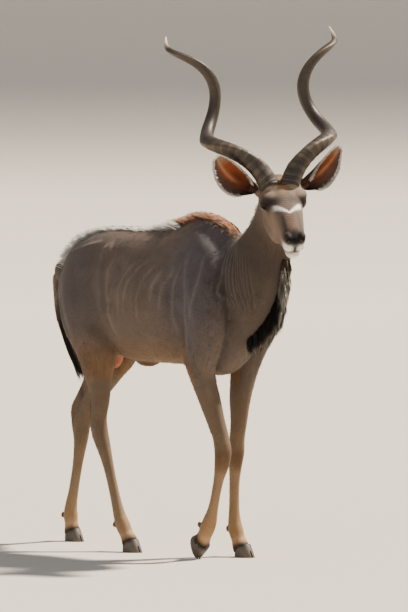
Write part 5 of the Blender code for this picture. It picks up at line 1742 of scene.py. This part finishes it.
def throat_hair(tree, unwrap, rng):
    """The long fringe under the throat: brown with cream streaks, then white, then cream over black."""
    count, width = LOCKS["throat"]
    clump = rng.integers(0, FRINGE_CLUMPS, count)
    u = np.clip(rng.uniform(0, 1, FRINGE_CLUMPS)[clump] + rng.normal(0, 0.012, count), 0, 1)
    x = np.clip(rng.uniform(-1, 1, FRINGE_CLUMPS)[clump] + rng.normal(0, 0.10, count), -1, 1)
    height = FRINGE_TOP + (FRINGE_END - FRINGE_TOP) * u
    reach = np.interp(u, (0, 0.4, 1), (0.020, 0.018, 0.027))
    starts = np.stack([x * reach - 0.004, np.full(count, -2.0), height], axis=1)
    kept, roots, outward = cast(tree, starts, np.tile((0, 1.0, 0), (count, 1)))
    u, x, clump, count = u[kept], x[kept], clump[kept], len(kept)
    length = np.interp(u, (0, 0.15, 0.6, 1), (0.050, 0.075, 0.086, 0.060))
    length = length * (1 + clumped(rng, clump, 0.14)) * rng.uniform(0.8, 1.05, count)
    leaves = np.stack([x * 0.18 + clumped(rng, clump, 0.07), -0.40 + clumped(rng, clump, 0.09)
                       - 0.2 * (1 - np.abs(x)), -0.85 + clumped(rng, clump, 0.06)], axis=1)
    ends = np.stack([-x * 0.12 + clumped(rng, clump, 0.10, 0.2),
                     0.10 + 0.30 * u + clumped(rng, clump, 0.12, 0.2), -np.ones(count)], axis=1)
    flat = np.stack([np.ones(count), rng.normal(0, 0.5, count), rng.normal(0, 0.2, count)], axis=1)
    off = np.abs(x)
    dark = (soft_edge(-off, -0.36, 0.06) * np.clip((u - 0.36) / 0.06, 0, 1))[:, None]
    brown_clumps = rng.uniform(0, 1, FRINGE_CLUMPS)[clump] > 0.45 - 0.2 * off
    brown = (soft_edge(u, 0.20, 0.05) * brown_clumps)[:, None]
    tone = (0.92 + clumped(rng, clump, 0.10))[:, None] * rng.uniform(0.85, 1.1, (count, 1))
    pale = WHITE * 1.1 * (1 - u[:, None]) + CREAM * 1.0 * u[:, None]
    root_tint = (pale * 0.8 * (1 - brown) + BROWN_HAIR * brown) * (1 - dark) + BLACK * dark
    tip_tint = (pale * (1 - brown) + BROWN_HAIR * 1.3 * brown) * (1 - dark) + BLACK * 1.2 * dark
    return grow("fringe_throat", unwrap, roots, outward, leaves, ends, length, width, flat,
                root_tint * tone, tip_tint * tone, steps=4, wave=0.05, rng=rng,
                facing=unit(outward + np.array((0.8, 0, 0.55)) + rng.normal(0, 0.25, (count, 3))))


def tail_hair(unwrap, rng):
    """Hair down both sides of the tail, and the black tuft at its end."""
    count, width = LOCKS["tail"]
    path = smooth_rows([s[:3] for s in TAIL], 8)
    u = rng.uniform(0.12, 1.0, count) ** 0.8
    row = u * (len(path) - 1)
    index = np.minimum(row.astype(int), len(path) - 2)
    share = (row - index)[:, None]
    centre = path[index] * (1 - share) + path[index + 1] * share
    along = unit(path[index + 1] - path[index])
    turn = rng.uniform(0, 2 * math.pi, count)
    out = np.stack([np.cos(turn), np.sin(turn), np.zeros(count)], axis=1)
    out = unit(out - along * np.sum(out * along, axis=1, keepdims=True))
    radius = np.interp(u, (0, 0.4, 1), (0.022, 0.012, 0.008))[:, None]
    roots = centre + out * radius
    length = (0.030 + 0.085 * u ** 1.5) * rng.uniform(0.7, 1.15, count)
    dark = np.clip((u - 0.45) / 0.2, 0, 1)[:, None]
    tone = rng.uniform(0.8, 1.15, (count, 1))
    root_tint = (GREY_HAIR * (1 - dark) + BLACK * dark) * tone
    tip_tint = (GREY_HAIR * 1.1 * (1 - dark) + BLACK * dark) * tone
    return grow("tail_hair", unwrap, roots, out, along + out * 0.16, along - out * 0.05, length, width,
                out, root_tint, tip_tint, steps=4, wave=0.05, rng=rng)


def ear_hair(unwrap, rng, side):
    """White hair inside the ear's front and hind margins, and a fringe round its rim."""
    along, opening, across = (np.array(v) for v in ear_axes(side))
    count, width = LOCKS["ear"]
    place = rng.uniform(0.25, 0.98, count)
    edge = rng.choice((-1, 1), count)
    angle = edge * (1 - np.abs(rng.normal(0, 0.09, count)))
    rows = [[r[k] for r in EAR_CURL] for k in range(3)]
    radius = np.interp(place, rows[0], rows[1])
    half = np.radians(np.interp(place, rows[0], rows[2]))
    root = np.array(ear_axis_point(side, 0)) + along * (EAR_LENGTH * place)[:, None]
    root = root + across * (EAR_BEND * np.sin(math.pi * place))[:, None]
    r = radius - EAR_THICKNESS * 0.4
    root = root + across * (r * np.sin(angle * half))[:, None]
    root = root + opening * (radius * CUP_DEPTH - r * np.cos(angle * half) - CUP_SHIFT)[:, None]
    inward = -across * np.sin(angle * half)[:, None] + opening * np.cos(angle * half)[:, None]
    leaves = along * 0.9 + inward * rng.uniform(0.1, 0.6, (count, 1)) + rng.normal(0, 0.1, (count, 3))
    ends = along * 1.0 + inward * 0.2 + rng.normal(0, 0.12, (count, 3))
    tone = rng.uniform(0.85, 1.08, (count, 1))
    tint_here = WHITE * 0.92 * tone
    name = "ear_hair_left" if side > 0 else "ear_hair_right"
    length = rng.uniform(0.008, 0.020, count)
    return grow(name, unwrap, root, inward, leaves, ends, length, width,
                inward, tint_here, tint_here, steps=2, sink=0.001)


# Short tufts of the coat


TUFTS = 52000
TUFTS_IN_A_PIECE = 17500


def hair_flow(points, outward):
    """How the short coat lies: back along the trunk, down the limbs, up the face and out along the ears."""
    y, z = points[:, 1], points[:, 2]
    flow = np.tile((0.0, 1.0, -0.30), (len(points), 1))
    front = soft_edge(y, -0.60, 0.03)[:, None]
    flow = flow * (1 - front) + np.array((0.0, 0.35, -1.0)) * front
    low = soft_edge(z, 0.84, 0.05)[:, None]
    flow = flow * (1 - low) + np.array((0.0, 0.18, -1.0)) * low
    up_the_face = -np.array(HEAD.muzzle) - np.array(HEAD.brow) * 0.1
    flow = np.where(near_eyes(points, 0.31, -0.15)[:, None], up_the_face, flow)
    for side in (1, -1):
        there = ear_place(points, side)[3][:, None]
        flow = np.where(there, np.array(ear_axes(side)[0]), flow)
    return unit(flow - outward * np.sum(flow * outward, axis=1, keepdims=True) + 1e-6)


def tuft_density(points, outward):
    """More tufts where the coat breaks the form: ridges, edges, the backs of limbs, jaw and brow."""
    x, y, z = points.T
    density = np.full(len(points), 0.22)
    density += 0.9 * np.exp(-((x / 0.07) ** 2)) * (outward[:, 2] > 0.3) * (z > 1.15)
    density += 1.0 * soft_edge(z, 0.86, 0.03) * (z > 0.72) * (np.abs(y + 0.05) < 0.5)
    density += 1.0 * stripe(points, ((0.60, 1.08), (0.54, 0.92), (0.42, 0.80), (0.30, 0.70)), 0.05)
    density += 0.9 * (outward[:, 1] > 0.35) * soft_edge(z, 0.75, 0.05)
    density += 0.9 * (outward[:, 1] < -0.4) * (z > 0.78) * (z < 1.25) * (y < -0.45)
    for foot in FEET:
        point = np.array(coronet_plane(foot)[0])
        density += 2.2 * np.exp(-((np.linalg.norm(points - point, axis=1) / 0.05) ** 2))
    flat = folded_head(points)
    bare = np.maximum(patch(flat, (0, 0.262, -0.01), (0.05, 0.03, 0.04)),
                      patch(flat, (EYE_PLACE[0] + 0.012, 0.004, 0.001), (0.024, 0.024, 0.018)))
    density = np.where(near_eyes(points, 0.31, -0.15), 2.4 * (1 - bare), density)
    for side in (1, -1):
        density = np.where(ear_place(points, side)[3], 1.6, density)
    return density


def coat_tufts(skin, unwrap, rng):
    """Thin overlapping tufts all over the skin, in pieces."""
    mesh = skin.data
    points, outward = coordinates(mesh), normals(mesh)
    colours = coat_tint(points)
    corners = np.empty(len(mesh.polygons) * 3, np.int32)
    mesh.polygons.foreach_get("vertices", corners)
    corners = corners.reshape(-1, 3)
    a, b, c = (points[corners[:, k]] for k in range(3))
    area = np.linalg.norm(np.cross(b - a, c - a), axis=1) / 2
    middles = (a + b + c) / 3
    facing = unit(outward[corners].mean(axis=1))
    weight = area * tuft_density(middles, facing)
    chosen = rng.choice(len(weight), TUFTS, p=weight / weight.sum())
    mix = rng.dirichlet((1, 1, 1), TUFTS)[:, :, None]
    picked = corners[chosen]
    roots = (points[picked] * mix).sum(axis=1)
    out = unit((outward[picked] * mix).sum(axis=1))
    tone = (colours[picked] * mix).sum(axis=1)
    flow = hair_flow(roots, out)
    length = np.interp(roots[:, 2], (0.05, 0.30, 0.80, 1.2), (0.006, 0.009, 0.014, 0.015))
    length = np.where(near_eyes(roots, 0.36, -0.16), 0.0060, length)
    rough = rng.normal(0, 0.16, (TUFTS, 3))
    leaves = flow + out * rng.uniform(0.10, 0.30, (TUFTS, 1)) + rough
    ends = flow + out * rng.uniform(-0.12, 0.10, (TUFTS, 1)) + rough
    length = length * rng.uniform(0.65, 1.3, TUFTS)
    width = 0.10 * length + 0.0004
    root_tint = tone * rng.uniform(0.86, 1.02, (TUFTS, 1))
    tip_tint = tone * rng.uniform(0.98, 1.22, (TUFTS, 1))
    pieces = []
    for k, first in enumerate(range(0, TUFTS, TUFTS_IN_A_PIECE)):
        part = slice(first, first + TUFTS_IN_A_PIECE)
        pieces.append(grow(f"coat_tufts_{k + 1}", unwrap, roots[part], out[part], leaves[part], ends[part],
                           length[part], width[part], out[part], root_tint[part], tip_tint[part],
                           steps=2, sink=0.0006, facing=unit(out[part] + rough[part] * 0.6)))
    return pieces


def dress():
    """Makes every piece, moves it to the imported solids' frame and hangs it under the root."""
    skin = whole_skin()
    tint(skin.data, coat_tint(coordinates(skin.data)))
    tree, unwrap, rng = tree_of(skin), Unwrap(skin), np.random.default_rng(SEED)
    coat = coat_material("short summer coat", 2.2, 0.35, 0.72)
    mane = coat_material("long guard hair", 1.2, 0.1, 0.6)
    horn_finish = keratin_material("weathered horn keratin", 4.0, (1.0, 1.0, 0.45), 0.5, 0.42)
    hoof_finish = keratin_material("worn hoof keratin", 3.0, (1.0, 1.0, 0.3), 0.35, 0.55)
    wear(skin, coat)
    pieces = [skin]
    hair = [spine_hair(tree, unwrap, rng), hump_hair(tree, unwrap, rng), nape_hair(tree, unwrap, rng),
            throat_hair(tree, unwrap, rng), tail_hair(unwrap, rng)]
    hair += [ear_hair(unwrap, rng, side) for side in (1, -1)]
    for obj in hair:
        wear(obj, mane, smooth=False)
    tufts = coat_tufts(skin, unwrap, rng)
    for obj in tufts:
        wear(obj, coat)
    hair += tufts
    pieces += hair
    for side, word in ((1, "left"), (-1, "right")):
        horn_piece = fine_horn(f"horn_sheath_{word}", side)
        wear(horn_piece, horn_finish)
        eye_piece = fine_eye(f"eyeball_{word}", side)
        wear(eye_piece, eye_material())
        pieces += [horn_piece, eye_piece]
        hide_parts(f"horn_{word}")
        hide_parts(f"eye_{word}")
    for leg in FEET:
        node = leg.replace("leg", "hoof")
        hoof_piece = fine_hoof(f"{node}_horn", leg)
        wear(hoof_piece, hoof_finish)
        hoof_piece.data.set_sharp_from_angle(angle=math.radians(50))
        pieces.append(hoof_piece)
        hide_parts(node)
    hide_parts(*FLESH_NODES)
    for obj in pieces:
        obj.data.transform(Matrix.Translation(ORIGIN_SHIFT))
        obj.data.update()
        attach(obj, "root")


FLESH_NODES = ("torso", "neck", "head", "tail", "ear_left", "ear_right",
               "foreleg_left", "foreleg_right", "hindleg_left", "hindleg_right")

camera()
studio()
dress()
